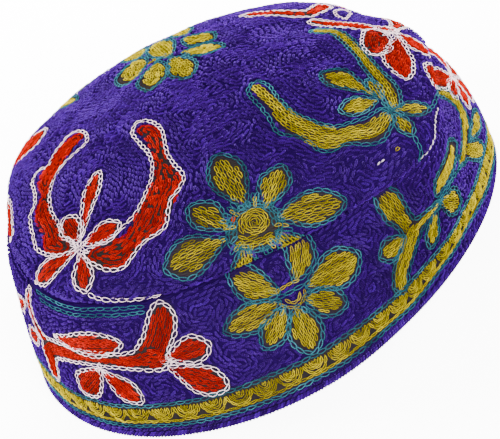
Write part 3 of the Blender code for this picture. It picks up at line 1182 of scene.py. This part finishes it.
class Rows:
    """Rows of stitches laid side by side through one zone of a field."""

    STEP = 0.5
    LONGEST = 400
    # How far a row may pass its margin, and how many of its own points next to a place don't block it
    SLACK, OWN_REACH = 0.2, 7
    # Ready lines: how near they come to other rows, as a share of the spacing, and their fewest points
    READY_SHARE, READY_LEAST = 0.8, 6

    def __init__(self, field, zone, spacing, margin, nested=None):
        self.field = field
        self.shortest = 4 if zone == GROUND else 7
        self.passes = GROUND_PASSES if zone == GROUND else FILL_PASSES
        self.nested = nested
        self.zone = zone
        self.spacing = spacing
        self.margin = margin
        self.room = field.room[zone]
        self.room_rows = self.room.reshape(field.counts).tolist()
        self.taken = {}
        self.rows = []
        self.closed = []
        self.loop = 0
        self.low_x, self.low_y = (float(value) for value in field.chart.low)
        self.cell_x, self.cell_y = (float(value) for value in field.cell)
        self.count_x, self.count_y = (int(value) for value in field.counts)
        self.period = field.chart.period
        self.bins = int(self.period / spacing) if self.period else 0
        self.bin_x = self.period / self.bins if self.period else spacing

    def index(self, x, y):
        i = int((x - self.low_x) // self.cell_x)
        j = int((y - self.low_y) // self.cell_y)
        if self.period:
            i %= self.count_x
        if 0 <= i < self.count_x and 0 <= j < self.count_y:
            return i, j
        return None

    def free(self, x, y, limit, row=-1, number=0):
        """True where no other row, and no other stretch of this one, is nearer than limit."""
        column, line = self.bin(x, y)
        square = limit * limit
        reach = self.OWN_REACH
        for i in (column - 1, column, column + 1):
            if self.bins:
                i %= self.bins
            for j in (line - 1, line, line + 1):
                for px, py, their_row, their_number in self.taken.get((i, j), ()):
                    apart = abs(their_number - number)
                    if their_row == row and (apart < reach or (self.loop and apart > self.loop - reach)):
                        continue
                    gap = px - x
                    if self.period:
                        gap -= round(gap / self.period) * self.period
                    if gap * gap + (py - y) * (py - y) < square:
                        return False
        return True

    def bin(self, x, y):
        column = int(x // self.bin_x)
        return column % self.bins if self.bins else column, int(y // self.spacing)

    def take(self, x, y, row, number):
        self.taken.setdefault(self.bin(x, y), []).append((x, y, row, number))

    def drop(self, x, y, row, number):
        self.taken[self.bin(x, y)].remove((x, y, row, number))

    def allowed(self, x, y):
        cell = self.index(x, y)
        if cell is None:
            return None
        i, j = cell
        if self.field.zone_rows[i][j] != self.zone or self.room_rows[i][j] < self.margin - self.SLACK:
            return None
        return cell

    def grow(self, x, y):
        """Lays one row both ways from a seed. Returns its points, or nothing where it has no room."""
        cell = self.allowed(x, y)
        if cell is None or not self.free(x, y, self.spacing * self.seed_share):
            return None
        row = len(self.rows)
        sides = []
        near = self.spacing * self.near_share
        self.take(x, y, row, 0)
        laid = [(x, y, 0)]
        for sense in (1, -1):
            px, py = x, y
            i, j = cell
            dx, dy = self.field.run_x[i][j] * sense, self.field.run_y[i][j] * sense
            points = []
            number = 0
            for _ in range(self.LONGEST):
                px, py = px + dx * self.STEP, py + dy * self.STEP
                number += sense
                here = self.allowed(px, py)
                if here is None or not self.free(px, py, near, row, number):
                    break
                points.append((px, py))
                self.take(px, py, row, number)
                laid.append((px, py, number))
                i, j = here
                nx, ny = self.field.run_x[i][j], self.field.run_y[i][j]
                if nx * dx + ny * dy < 0:
                    nx, ny = -nx, -ny
                dx, dy = 0.5 * dx + 0.5 * nx, 0.5 * dy + 0.5 * ny
                size = math.hypot(dx, dy) or 1.0
                dx, dy = dx / size, dy / size
            sides.append(points)
        points = sides[1][::-1] + [(x, y)] + sides[0]
        if len(points) < self.shortest:
            for px, py, number in laid:
                self.drop(px, py, row, number)
            return None
        self.rows.append(points)
        self.closed.append(False)
        return points

    def follow(self, points, closed):
        """Lays a ready line, whole or in the stretches that have room."""
        self.loop = len(points) if closed else 0
        near = self.spacing * self.READY_SHARE
        stretch = []
        for number, place in enumerate(points.tolist() + [None]):
            row = len(self.rows)
            if place and self.allowed(*place) and self.free(*place, near, row, number):
                self.take(*place, row, number)
                stretch.append((*place, number))
                continue
            if len(stretch) >= self.READY_LEAST:
                self.rows.append([spot[:2] for spot in stretch])
                self.closed.append(closed and len(stretch) == len(points))
            else:
                for x, y, own in stretch:
                    self.drop(x, y, row, own)
            stretch = []
        self.loop = 0

    def lay(self):
        """Fills the zone: rows one inside another from its edges in, then rows in what is left."""
        field = self.field
        grid = blurred(self.room.reshape(field.counts), 5 if self.zone == GROUND else 2, bool(self.period))
        for level in np.arange(self.margin, grid.max(), self.spacing)[: self.nested]:
            for points, closed in level_lines(grid, level, field.chart.low, field.cell, self.period):
                self.follow(eased(points, closed, self.STEP, self.period), closed)
        own = np.flatnonzero((field.zone == self.zone) & (self.room >= self.margin - self.SLACK))
        seeds = field.places[CHANCE.permutation(own)].tolist()
        for self.seed_share, self.near_share in self.passes:
            for seed in seeds:
                points = self.grow(*seed)
                queue = [points] if points else []
                while queue:
                    points = queue.pop(0)
                    for place in CHANCE.permutation(np.arange(1, len(points) - 1, 2)):
                        (ax, ay), (bx, by) = points[place - 1], points[place + 1]
                        gap = math.hypot(bx - ax, by - ay) or 1.0
                        nx, ny = -(by - ay) / gap * self.spacing, (bx - ax) / gap * self.spacing
                        px, py = points[place]
                        for sign in (1, -1):
                            new = self.grow(px + nx * sign, py + ny * sign)
                            if new:
                                queue.append(new)
        return [(np.array(points), closed) for points, closed in zip(self.rows, self.closed)]


# One chain stitch, round its loop: shares of its length and half width, its height and its thickness, in
# thicknesses of the thread. The ground's stitch has seven points and the others have eight.
LINK_FORMS = {
    7: (
        (0.0, 0.22, 0.62, 0.94, 0.94, 0.62, 0.22),
        (0.0, 0.62, 1.0, 0.55, -0.55, -1.0, -0.62),
        (-0.8, 1.0, 1.6, 0.5, 0.5, 1.6, 1.0),
        (0.7, 1.0, 1.08, 0.9, 0.9, 1.08, 1.0),
    ),
    8: (
        (0.0, 0.2, 0.54, 0.87, 1.0, 0.87, 0.54, 0.2),
        (0.0, 0.66, 1.0, 0.68, 0.0, -0.68, -1.0, -0.66),
        (-0.2, 1.8, 2.2, 1.0, 0.2, 1.0, 2.2, 1.8),
        (0.85, 1.0, 1.08, 1.0, 0.9, 1.0, 1.08, 1.0),
    ),
}
CLOTH_DEPTH = 0.75
# How far the foot of a stitch stands over the cloth
LOOP_RISE = 0.12
# How much one stitch differs from the next: its width, its place across the row and its height
WIDTHS, SHIFT, LIFT = (0.85, 1.12), 0.13, 0.12
# Shorter stitches than this share of the thread's are left out
SHORTEST_STITCH = 0.45
# How much of its shade a stitch shares with so many neighbours, and how much is its own
TONE_SHARES, TONE_SPAN = (0.45, 0.55), 8
# How far apart the rows lie on the one track along which all are measured
TRACK_GAP = 50.0
STITCH_FLATNESS = 0.9
# The share of its square that a stitch fills on the map for bakes, and the rim left free beside it
BAKE_SHARE, BAKE_RIM = 0.86, 0.07


def ring_quads(count, along, sides):
    """The faces of some closed threads, each of which has so many points along it and round it."""
    cell = np.arange(count * along * sides).reshape(count, along, sides)
    ahead = np.roll(cell, -1, 1)
    return np.stack([cell, ahead, np.roll(ahead, -1, 2), np.roll(cell, -1, 2)], -1).reshape(-1, 4)


def corner_map(left, right, low, high):
    """The four corners of some faces on a map."""
    corners = ((left, low), (right, low), (right, high), (left, high))
    return np.stack([np.stack(np.broadcast_arrays(*corner), -1) for corner in corners], -2)


def thread_rims(centre, along, up, thickness, sides, flatness):
    """Rings of points round some lines of thread, which lies a little flat."""
    top = unit(up - (up * along).sum(-1, keepdims=True) * along)
    flank = np.cross(along, top)
    turns = TAU * (np.arange(sides) / sides) + math.pi / 2
    rim = np.cos(turns)[:, None] * flank[:, :, None] + flatness * np.sin(turns)[:, None] * top[:, :, None]
    return centre[:, :, None] + thickness[:, None, None] * rim


def chain(chart, rows, thread):
    """The stitches of many rows: their points, thread map, tone and middle, one entry for each stitch."""
    lines, lasts = [], []
    for places, closed in rows:
        if CHANCE.random() < 0.5:
            places = places[::-1]
        last = len(places) - 1
        if closed:
            step = max(np.median(np.linalg.norm(np.diff(places, axis=0), axis=1)), 0.05)
            more = int(2.0 * thread.pitch / step) + 2
            places = np.concatenate([places, places[: min(more, last) + 1]])
            last += 1
        lines.append(places)
        lasts.append(last)
    places = np.concatenate(lines)
    points, out = chart.cloth(places[:, 0], places[:, 1], np.zeros(len(places)))
    reach = reach_along(points)
    track = np.empty(len(points))
    begins, lengths, row_tones, leans = [], [], [], []
    start, at = 0, 0.0
    for line, last in zip(lines, lasts):
        end = start + len(line)
        own = reach[start:end] - reach[start] + at
        track[start:end] = own
        length = own[min(last, len(line) - 1)] - own[0]
        count = max(1, int(round(length / thread.pitch)))
        step = length / count
        begins.append(own[0] + step * np.arange(count))
        lengths.append(np.minimum(np.full(count, step * thread.overlap), own[-1] - begins[-1]))
        knots = np.arange(0, count + TONE_SPAN, TONE_SPAN)
        row_tones.append(np.interp(np.arange(count), knots, CHANCE.random(len(knots))))
        leans.append(np.full(count, thread.lean * CHANCE.uniform(0.7, 1.2)))
        start, at = end, own[-1] + TRACK_GAP
    length = np.concatenate(lengths)
    kept = length > SHORTEST_STITCH * thread.pitch
    length = length[kept]
    begin, row_tone, row_lean = (np.concatenate(part)[kept] for part in (begins, row_tones, leans))
    count = len(begin)
    form_length, form_width, form_height, form_thick = (np.array(row) for row in LINK_FORMS[thread.along])
    spots = begin[:, None] + length[:, None] * form_length

    def read(values, shift=0.0):
        return np.stack([np.interp(spots + shift, track, values[:, axis]) for axis in range(3)], -1)

    centre = read(points)
    up = read(out)
    side = unit(np.cross(up, unit(read(points, 0.3) - read(points, -0.3))))
    half = (thread.width / 2 - thread.radius) * CHANCE.uniform(*WIDTHS, count)
    shift = CHANCE.uniform(-SHIFT, SHIFT, count)
    lift = CHANCE.uniform(-LIFT, LIFT, count)
    slant = (row_lean + CHANCE.normal(0, thread.slant, count)) * length
    offset = form_width * half[:, None] + shift[:, None] + (form_length - 0.5) * slant[:, None]
    height = form_height * thread.radius - CLOTH_DEPTH + LOOP_RISE + lift[:, None]
    centre = centre + side * offset[..., None] + up * height[..., None]
    along = unit(np.roll(centre, -1, 1) - np.roll(centre, 1, 1))
    verts = thread_rims(centre, along, up, thread.radius * form_thick, thread.round, STITCH_FLATNESS)
    step = np.linalg.norm(np.roll(centre, -1, 1) - centre, axis=-1)
    far = np.concatenate([np.zeros((count, 1)), np.cumsum(step, 1)], 1) + CHANCE.uniform(0, 9, (count, 1))
    turn = np.arange(thread.round) / thread.round
    return {
        "verts": verts,
        "thread": corner_map(far[:, :-1, None], far[:, 1:, None], turn, turn + 1 / thread.round),
        "tone": TONE_SHARES[0] * row_tone + TONE_SHARES[1] * CHANCE.random(count),
        "middle": centre.mean(1),
    }


def bake_cells(count, along, sides):
    """A map for bakes in which every stitch has a square of its own."""
    across = math.ceil(math.sqrt(count))
    number = np.arange(count)
    corner = np.stack([number % across, number // across], 1) / across
    i, j = np.meshgrid(np.arange(along), np.arange(sides), indexing="ij")
    cell = corner_map(i, i + 1, j, j + 1) / np.array((along, sides)) * (BAKE_SHARE / across)
    return corner[:, None, None, None] + (cell + BAKE_RIM / across)


def piece_from(name, verts, quads, finish, maps, tone):
    """A smooth-shaded piece from arrays of points in millimetres and of quads."""
    mesh = bpy.data.meshes.new(name)
    mesh.vertices.add(len(verts))
    mesh.vertices.foreach_set("co", (verts * MM).astype(np.float32).ravel())
    mesh.loops.add(quads.size)
    mesh.loops.foreach_set("vertex_index", quads.astype(np.int32).ravel())
    mesh.polygons.add(len(quads))
    mesh.polygons.foreach_set("loop_start", np.arange(0, quads.size, 4, dtype=np.int32))
    for map_name, corners in maps.items():
        layer = mesh.uv_layers.new(name=map_name)
        layer.data.foreach_set("uv", corners.astype(np.float32).ravel())
    attribute = mesh.attributes.new("tone", "FLOAT", "FACE")
    attribute.data.foreach_set("value", tone.astype(np.float32))
    mesh.update(calc_edges=True)
    mesh.shade_smooth()
    mesh.materials.append(finish)
    piece = bpy.data.objects.new(name, mesh)
    bpy.context.scene.collection.objects.link(piece)
    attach(piece, "root")
    return piece


# Finishes


class Value:
    """A node's output that takes part in sums: an expression on values adds its Math nodes."""

    def __init__(self, finish, socket):
        self.finish = finish
        self.socket = socket

    def maths(self, operation, first, second):
        return self.finish.node("ShaderNodeMath", {"operation": operation}, {0: first, 1: second})

    def __add__(self, other):
        return self.maths("ADD", self, other)

    def __radd__(self, other):
        return self.maths("ADD", other, self)

    def __sub__(self, other):
        return self.maths("SUBTRACT", self, other)

    def __rsub__(self, other):
        return self.maths("SUBTRACT", other, self)

    def __mul__(self, other):
        return self.maths("MULTIPLY", self, other)

    def __rmul__(self, other):
        return self.maths("MULTIPLY", other, self)


class Finish:
    """A material and the nodes that it is made of."""

    def __init__(self, name):
        self.material = bpy.data.materials.new(name)
        self.material.use_nodes = True
        self.tree = self.material.node_tree
        self.shader = self.tree.nodes["Principled BSDF"]

    def node(self, kind, settings=None, sockets=None, output=0):
        made = self.tree.nodes.new(kind)
        for key, value in (settings or {}).items():
            setattr(made, key, value)
        for key, value in (sockets or {}).items():
            if isinstance(value, Value):
                self.tree.links.new(value.socket, made.inputs[key])
            else:
                made.inputs[key].default_value = value
        return Value(self, made.outputs[output])

    def feed(self, **sockets):
        for key, value in sockets.items():
            target = self.shader.inputs[key.replace("_", " ")]
            if isinstance(value, Value):
                self.tree.links.new(value.socket, target)
            else:
                target.default_value = value

    def wave(self, value):
        return self.node("ShaderNodeMath", {"operation": "SINE"}, {0: value})

    def map_axes(self, name):
        """The two coordinates of a place on a named map."""
        place = self.node("ShaderNodeUVMap", {"uv_map": name})
        split = self.node("ShaderNodeSeparateXYZ", None, {0: place})
        return split, Value(self, split.socket.node.outputs[1])

    def noise(self, scale, detail):
        place = self.node("ShaderNodeTexCoord", output=3)
        return self.node("ShaderNodeTexNoise", None, {"Vector": place, "Scale": scale, "Detail": detail})

    def blend(self, share, first, second):
        """A colour between two colours."""
        settings = {"data_type": "RGBA", "clamp_factor": True}
        return self.node("ShaderNodeMix", settings, {0: share, 6: first, 7: second}, output=2)

    def bump(self, height, distance, strength=1.0):
        sockets = {"Height": height, "Distance": distance, "Strength": strength}
        return self.node("ShaderNodeBump", None, sockets)


def thread_finish(name, dark, middle, light, sheen=0.1, haze=None):
    """Twisted cotton thread: its shade changes from stitch to stitch and its plies show as ridges."""
    finish = Finish(name)
    tone = finish.node("ShaderNodeAttribute", {"attribute_name": "tone"}, output=2)
    along, around = finish.map_axes("thread")
    ply = finish.wave(along * (TAU * 1.5) + around * TAU)
    fibre = finish.noise(2600.0, 1.0)
    wear = finish.noise(70.0, 3.0)
    shade = tone * 0.62 + ply * 0.1 + fibre * 0.34 + wear * 0.5 - 0.42
    low = finish.blend(shade * 2.0, (*dark, 1), (*middle, 1))
    colour = finish.blend(shade * 2.0 - 1.0, low, (*light, 1))
    finish.feed(Base_Color=colour, Roughness=0.5, Sheen_Weight=sheen, Metallic=0.0)
    finish.shader.inputs["Specular IOR Level"].default_value = 0.0
    finish.shader.inputs["Sheen Roughness"].default_value = 0.35
    finish.shader.inputs["Sheen Tint"].default_value = (*(haze or (channel**0.5 for channel in light)), 1)
    finish.feed(Normal=finish.bump(ply * 0.6 + fibre, 0.00009, 0.7))
    return finish.material


# Beneath the ground's stitches the cloth is dark indigo, partly for the loose indigo thread there and
# partly as painted shade between the stitches; the same dark is painted as shade in the seam's crease
UNDER_THREAD_AND_SHADE = ((0.003, 0.0003, 0.012), (0.012, 0.0009, 0.052))


def cloth_finish(name, dark, light, density):
    """Plain-woven cotton, seen between the stitches and inside the cap; dark indigo beneath the ground's
    stitches (indigo thread with painted shade) and along the seam (painted shade in its crease).
    """
    finish = Finish(name)
    along, across = finish.map_axes("weave")
    checks = finish.wave(along * density) * finish.wave(across * density)
    slub = finish.noise(900.0, 3.0)
    wear = finish.noise(45.0, 2.0)
    shade = checks * 0.22 + slub * 0.5 + wear * 0.5
    plain = finish.blend(shade, (*dark, 1), (*light, 1))
    under_and_shade = finish.blend(shade, (*UNDER_THREAD_AND_SHADE[0], 1), (*UNDER_THREAD_AND_SHADE[1], 1))
    sewn_or_shaded = finish.node("ShaderNodeAttribute", {"attribute_name": "sewn_or_shaded"}, output=2)
    # The plain weave goes over to the dark indigo by the mask: painted shade between the ground's stitches
    # and in the seam's crease
    finish.feed(Base_Color=finish.blend(sewn_or_shaded, plain, under_and_shade))
    finish.feed(Roughness=0.95, Metallic=0.0)
    finish.shader.inputs["Specular IOR Level"].default_value = 0.0
    finish.feed(Normal=finish.bump(checks + slub * 0.5, 0.00012, 0.8))
    return finish.material


FINISHES = {
    "indigo": thread_finish(
        "indigo_thread", (0.006, 0.0001, 0.024), (0.023, 0.0003, 0.094), (0.06, 0.002, 0.31), 0.36,
        haze=(0.24, 0.1, 0.7),
    ),
    "red": thread_finish("red_thread", (0.09, 0.001, 0.0), (0.31, 0.0015, 0.0), (0.74, 0.008, 0.001)),
    "yellow": thread_finish("yellow_thread", (0.085, 0.062, 0.0), (0.37, 0.285, 0.0), (0.92, 0.72, 0.001)),
    "orange": thread_finish("orange_thread", (0.2, 0.012, 0.0), (0.4, 0.03, 0.0), (0.52, 0.06, 0.001)),
    "white": thread_finish("white_thread", (0.7, 0.5, 0.55), (0.96, 0.72, 0.79), (1.0, 0.88, 0.92)),
    "teal": thread_finish("teal_thread", (0.005, 0.026, 0.034), (0.019, 0.09, 0.115), (0.055, 0.26, 0.32)),
    "pale": thread_finish("pale_thread", (0.3, 0.24, 0.3), (0.55, 0.46, 0.52), (0.75, 0.66, 0.7)),
}
GROUND_CLOTH = cloth_finish("ground_cloth", (0.005, 0.0042, 0.005), (0.026, 0.021, 0.02), TAU * 100.0)

# The cloths
CLOTH_THICKNESS = 1.5
# How far the band's top edge is tucked up and in
TUCK_UP, TUCK_IN = 2.0, 0.4


def sew_cloth(name, field, columns, rows, place, node):
    """A cloth: a grid laid over its chart, closed at its join, and given its thickness inwards.

    The band's top row is tucked up inside the crown, as the turned edge of its seam.
    """
    bpy.ops.object.select_all(action="DESELECT")
    bpy.ops.mesh.primitive_grid_add(x_subdivisions=columns, y_subdivisions=rows, size=1.0)
    piece = bpy.context.object
    piece.name = name
    piece.data.name = name
    mesh = piece.data
    shares = np.array([vertex.co[:2] for vertex in mesh.vertices]) + 0.5
    x, y = place(shares[:, 0], shares[:, 1])
    depth = np.full(len(x), -CLOTH_DEPTH)
    points, out = field.chart.cloth(x, y, depth)
    if node == "side_band":
        rise = unit(points - field.chart.cloth(x, y - 2.0, depth)[0])
        tucked = shares[:, 1] > 0.999
        points[tucked] += (rise * TUCK_UP - out * TUCK_IN)[tucked]
    mesh.vertices.foreach_set("co", (points * MM).astype(np.float32).ravel())
    mesh.uv_layers[0].name = "weave"
    # The mask for the dark beneath the ground's stitches and the painted shade in the seam's crease
    sewn_or_shaded = mesh.attributes.new("sewn_or_shaded", "FLOAT", "POINT")
    sewn_or_shaded.data.foreach_set("value", field.stitched(x, y).astype(np.float32))
    bpy.ops.object.mode_set(mode="EDIT")
    bpy.ops.mesh.select_all(action="SELECT")
    bpy.ops.mesh.remove_doubles(threshold=0.00001)
    bpy.ops.mesh.normals_make_consistent(inside=False)
    bpy.ops.object.mode_set(mode="OBJECT")
    wall = piece.modifiers.new("wall", "SOLIDIFY")
    wall.thickness = CLOTH_THICKNESS * MM
    wall.offset = -1.0
    bpy.ops.object.modifier_apply(modifier="wall")
    mesh.shade_smooth()
    mesh.materials.clear()
    mesh.materials.append(GROUND_CLOTH)
    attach(piece, "root")
    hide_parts(node)


def crown_grid(across, up):
    angle = across * TAU
    radius = np.maximum(up, 0.0) * CROWN_RADIUS
    return radius * np.cos(angle), radius * np.sin(angle)


BAND_ROWS = 34


def band_grid(across, up):
    share = np.minimum(up * BAND_ROWS / (BAND_ROWS - 1), 1.0)
    return across * BAND_LENGTH, BAND_STITCH_FOOT + share * (BAND_HEIGHT - BAND_STITCH_FOOT)


CROWN_FIELD = Field(CROWN, CROWN_PARTS)
BAND_FIELD = Field(BAND, BAND_PARTS)
sew_cloth("crown_cloth", CROWN_FIELD, 288, 66, crown_grid, "crown")
sew_cloth("band_cloth", BAND_FIELD, 300, BAND_ROWS, band_grid, "side_band")

# The stitches


def stitch_piece(name, stitches, gauge, thread):
    """One piece from stitches of one colour."""
    count = len(stitches["verts"])
    maps = {"thread": stitches["thread"], "OFBake": bake_cells(count, gauge.along, gauge.round)}
    verts = stitches["verts"].reshape(-1, 3)
    tone = np.repeat(stitches["tone"], gauge.along * gauge.round)
    piece_from(name, verts, ring_quads(count, gauge.along, gauge.round), FINISHES[thread], maps, tone)


def stitch_all(label, field, gauges, extra):
    """Covers one cloth with its figures, its outlines and its ground."""

    def lines(thread):
        return [(run, closed) for line, run, closed in field.lines if line == thread]

    for zone, thread in zip(FILL_ZONES, FILLS):
        gauge = THREADS[gauges.get(thread, thread)]
        rows = Rows(field, zone, gauge.spacing, FILL_MARGIN, NESTED_ROWS).lay()
        rows += lines(thread) + extra.get(thread, [])
        stitch_piece(label + "_" + thread, chain(field.chart, rows, gauge), gauge, thread)
    for thread in OUTLINE_THREADS:
        gauge = THREADS[thread]
        rows = lines(thread)
        if rows:
            stitch_piece(label + "_" + thread, chain(field.chart, rows, gauge), gauge, thread)
    gauge = THREADS["indigo"]
    rows = Rows(field, GROUND, gauge.spacing, GROUND_MARGIN).lay() + lines("indigo")
    ground = chain(field.chart, rows, gauge)
    front = ground["middle"][:, 1] < 0
    for part, chosen in (("front", front), ("back", ~front)):
        own = {key: values[chosen] for key, values in ground.items()}
        stitch_piece(label + "_ground_" + part, own, gauge, "indigo")


stitch_all("crown", CROWN_FIELD, {}, {})
stitch_all("band", BAND_FIELD, {"yellow": "fine_yellow"}, {"yellow": scallop_rows()})

# The hem: a round core overcast with two layers of slanting turns of thread
HEM_TURNS = 260
HEM_MIDDLE = 1.1
HEM_INSET = 1.2
HEM_HALF_WIDTH, HEM_HALF_HEIGHT = 1.3, 0.95
# How near the core and the two layers come to the hem's full width
HEM_CORE, HEM_LAYERS = 0.85, (0.9, 0.94)
HEM_CORE_COLUMNS, HEM_CORE_SIDES = 250, 8
# Each turn of thread is a slanting arc from inside the foot, round the outer side, to inside the top
HEM_SWEEP = np.linspace(-0.75 * math.pi, 0.95 * math.pi, 8)
HEM_SLANT = 0.75
HEM_THICKNESS = 0.46 * np.array((0.35, 0.8, 1.0, 1.0, 1.0, 1.0, 0.8, 0.35))
HEM_PLY, HEM_FLATNESS = 4, 0.7
# How long one step of a turn is on the thread map
HEM_STEP = 0.9


def hem_ring(angle):
    """The hem's middle line, and the level direction out of the cap."""
    foot = np.zeros_like(angle)
    step = 1e-3
    run = band_surface(angle + step, foot) - band_surface(angle - step, foot)
    out = unit(np.cross(run, UP))
    middle = band_surface(angle, foot) - out * HEM_INSET
    middle[..., 2] = HEM_MIDDLE
    return middle, out


def hem_piece():
    angle = np.arange(HEM_CORE_COLUMNS) * TAU / HEM_CORE_COLUMNS
    middle, out = hem_ring(angle)
    turn = (np.arange(HEM_CORE_SIDES) * TAU / HEM_CORE_SIDES)[:, None]
    rim = out[:, None] * np.cos(turn) * HEM_HALF_WIDTH + UP * np.sin(turn) * HEM_HALF_HEIGHT
    verts = [(middle[:, None] + rim * HEM_CORE).reshape(-1, 3)]
    faces = [ring_quads(1, HEM_CORE_COLUMNS, HEM_CORE_SIDES)]
    tones = [np.full(len(faces[0]), 0.2)]
    maps = [np.zeros((len(faces[0]), 4, 2))]
    steps = len(HEM_SWEEP)
    u, v = np.meshgrid(np.arange(steps - 1) * HEM_STEP, np.arange(HEM_PLY) / HEM_PLY, indexing="ij")
    turn_map = corner_map(u, u + HEM_STEP, v, v + 1 / HEM_PLY).reshape(-1, 4, 2)
    across, rise = np.cos(HEM_SWEEP)[:, None], np.sin(HEM_SWEEP)[:, None]
    for layer, share in enumerate(HEM_LAYERS):
        number = np.arange(HEM_TURNS)[:, None] + 0.5 * layer
        stray = CHANCE.uniform(-0.05, 0.05, (HEM_TURNS, 1))
        middle, out = hem_ring((number + HEM_SWEEP / math.pi * HEM_SLANT + stray) * (TAU / HEM_TURNS))
        centre = middle + out * (across * HEM_HALF_WIDTH * share)
        centre = centre + UP * (rise * HEM_HALF_HEIGHT * share)
        along = unit(np.gradient(centre, axis=1))
        points = thread_rims(centre, along, out * across + UP * rise, HEM_THICKNESS, HEM_PLY, HEM_FLATNESS)
        points[..., 2] = np.maximum(points[..., 2], 0.0)
        first = sum(len(part) for part in verts)
        grid = np.arange(HEM_TURNS * steps * HEM_PLY).reshape(HEM_TURNS, steps, HEM_PLY) + first
        low, high = grid[:, :-1], grid[:, 1:]
        sides = np.stack([low, high, np.roll(high, -1, 2), np.roll(low, -1, 2)], -1).reshape(-1, 4)
        caps = np.concatenate([grid[:, 0, ::-1], grid[:, -1]])
        verts.append(points.reshape(-1, 3))
        faces += [sides, caps]
        tones.append(np.repeat(CHANCE.random(HEM_TURNS), len(turn_map)))
        tones.append(np.tile(CHANCE.random(HEM_TURNS), 2))
        maps += [np.tile(turn_map, (HEM_TURNS, 1, 1)), np.zeros((len(caps), 4, 2))]
    verts, faces, tones, maps = (np.concatenate(parts) for parts in (verts, faces, tones, maps))
    finish = FINISHES["indigo"]
    piece = piece_from("hem_overcast", verts, faces, finish, {"thread": maps}, tones)
    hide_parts("hem_edge")


hem_piece()

# Floor, lights and camera
FLOOR_GLOW = 8.0
STUDIO_LIGHT = 0.72


def floor_finish():
    finish = Finish("pale_floor")
    finish.feed(Base_Color=(0.93, 0.93, 0.93, 1), Roughness=0.7)
    finish.feed(Emission_Color=(1, 1, 1, 1), Emission_Strength=FLOOR_GLOW)
    return finish.material


bpy.ops.mesh.primitive_plane_add(size=8.0, location=(0, 0, -0.0002))
floor = bpy.context.object
floor.name = "floor"
floor.data.materials.append(floor_finish())
floor.visible_diffuse = False
floor.visible_glossy = False

world = bpy.data.worlds.new("studio")
bpy.context.scene.world = world
world.use_nodes = True
studio = world.node_tree.nodes["Background"]
studio.inputs["Color"].default_value = (1.0, 1.0, 1.0, 1)
studio.inputs["Strength"].default_value = STUDIO_LIGHT


def soft_light(name, place, power, size):
    """A square soft box that faces the cap."""
    data = bpy.data.lights.new(name, "AREA")
    data.energy = power
    data.size = size
    light = bpy.data.objects.new(name, data)
    light.location = place
    light.rotation_euler = (Vector((0, 0, 0.04)) - Vector(place)).to_track_quat("-Z", "Y").to_euler()
    bpy.context.scene.collection.objects.link(light)


soft_light("left", (-1.0, 0.55, 0.16), 125.0, 0.5)
soft_light("left_front", (-1.05, -0.6, 0.06), 30.0, 0.5)
soft_light("right", (1.0, 0.6, 0.16), 100.0, 0.5)
soft_light("behind", (0.1, 1.2, 0.2), 115.0, 0.7)
soft_light("front", (0.3, -0.95, 0.6), 40.0, 0.35)

# Camera, as the photograph was taken
CAMERA_PLACE = np.array((10.871, -506.352, 327.047)) - BOX_SHIFT
CAMERA_AIM = np.array((-1.115, -3.321, 14.405)) - BOX_SHIFT
CAMERA_ROLL = math.radians(-25.804)
CAMERA_LENS = 113.94


def add_camera():
    data = bpy.data.cameras.new("camera")
    data.sensor_width = 36.0
    data.lens = CAMERA_LENS
    data.clip_start, data.clip_end = 0.01, 20.0
    camera = bpy.data.objects.new("camera", data)
    bpy.context.scene.collection.objects.link(camera)
    ahead = Vector(CAMERA_AIM - CAMERA_PLACE).normalized()
    level = ahead.cross(Vector((0, 0, 1))).normalized()
    upright = level.cross(ahead)
    right = level * math.cos(CAMERA_ROLL) + upright * math.sin(CAMERA_ROLL)
    top = upright * math.cos(CAMERA_ROLL) - level * math.sin(CAMERA_ROLL)
    turn = Matrix((right, top, -ahead)).transposed().to_4x4()
    camera.matrix_world = Matrix.Translation(Vector(CAMERA_PLACE * MM)) @ turn
    bpy.context.scene.camera = camera


add_camera()
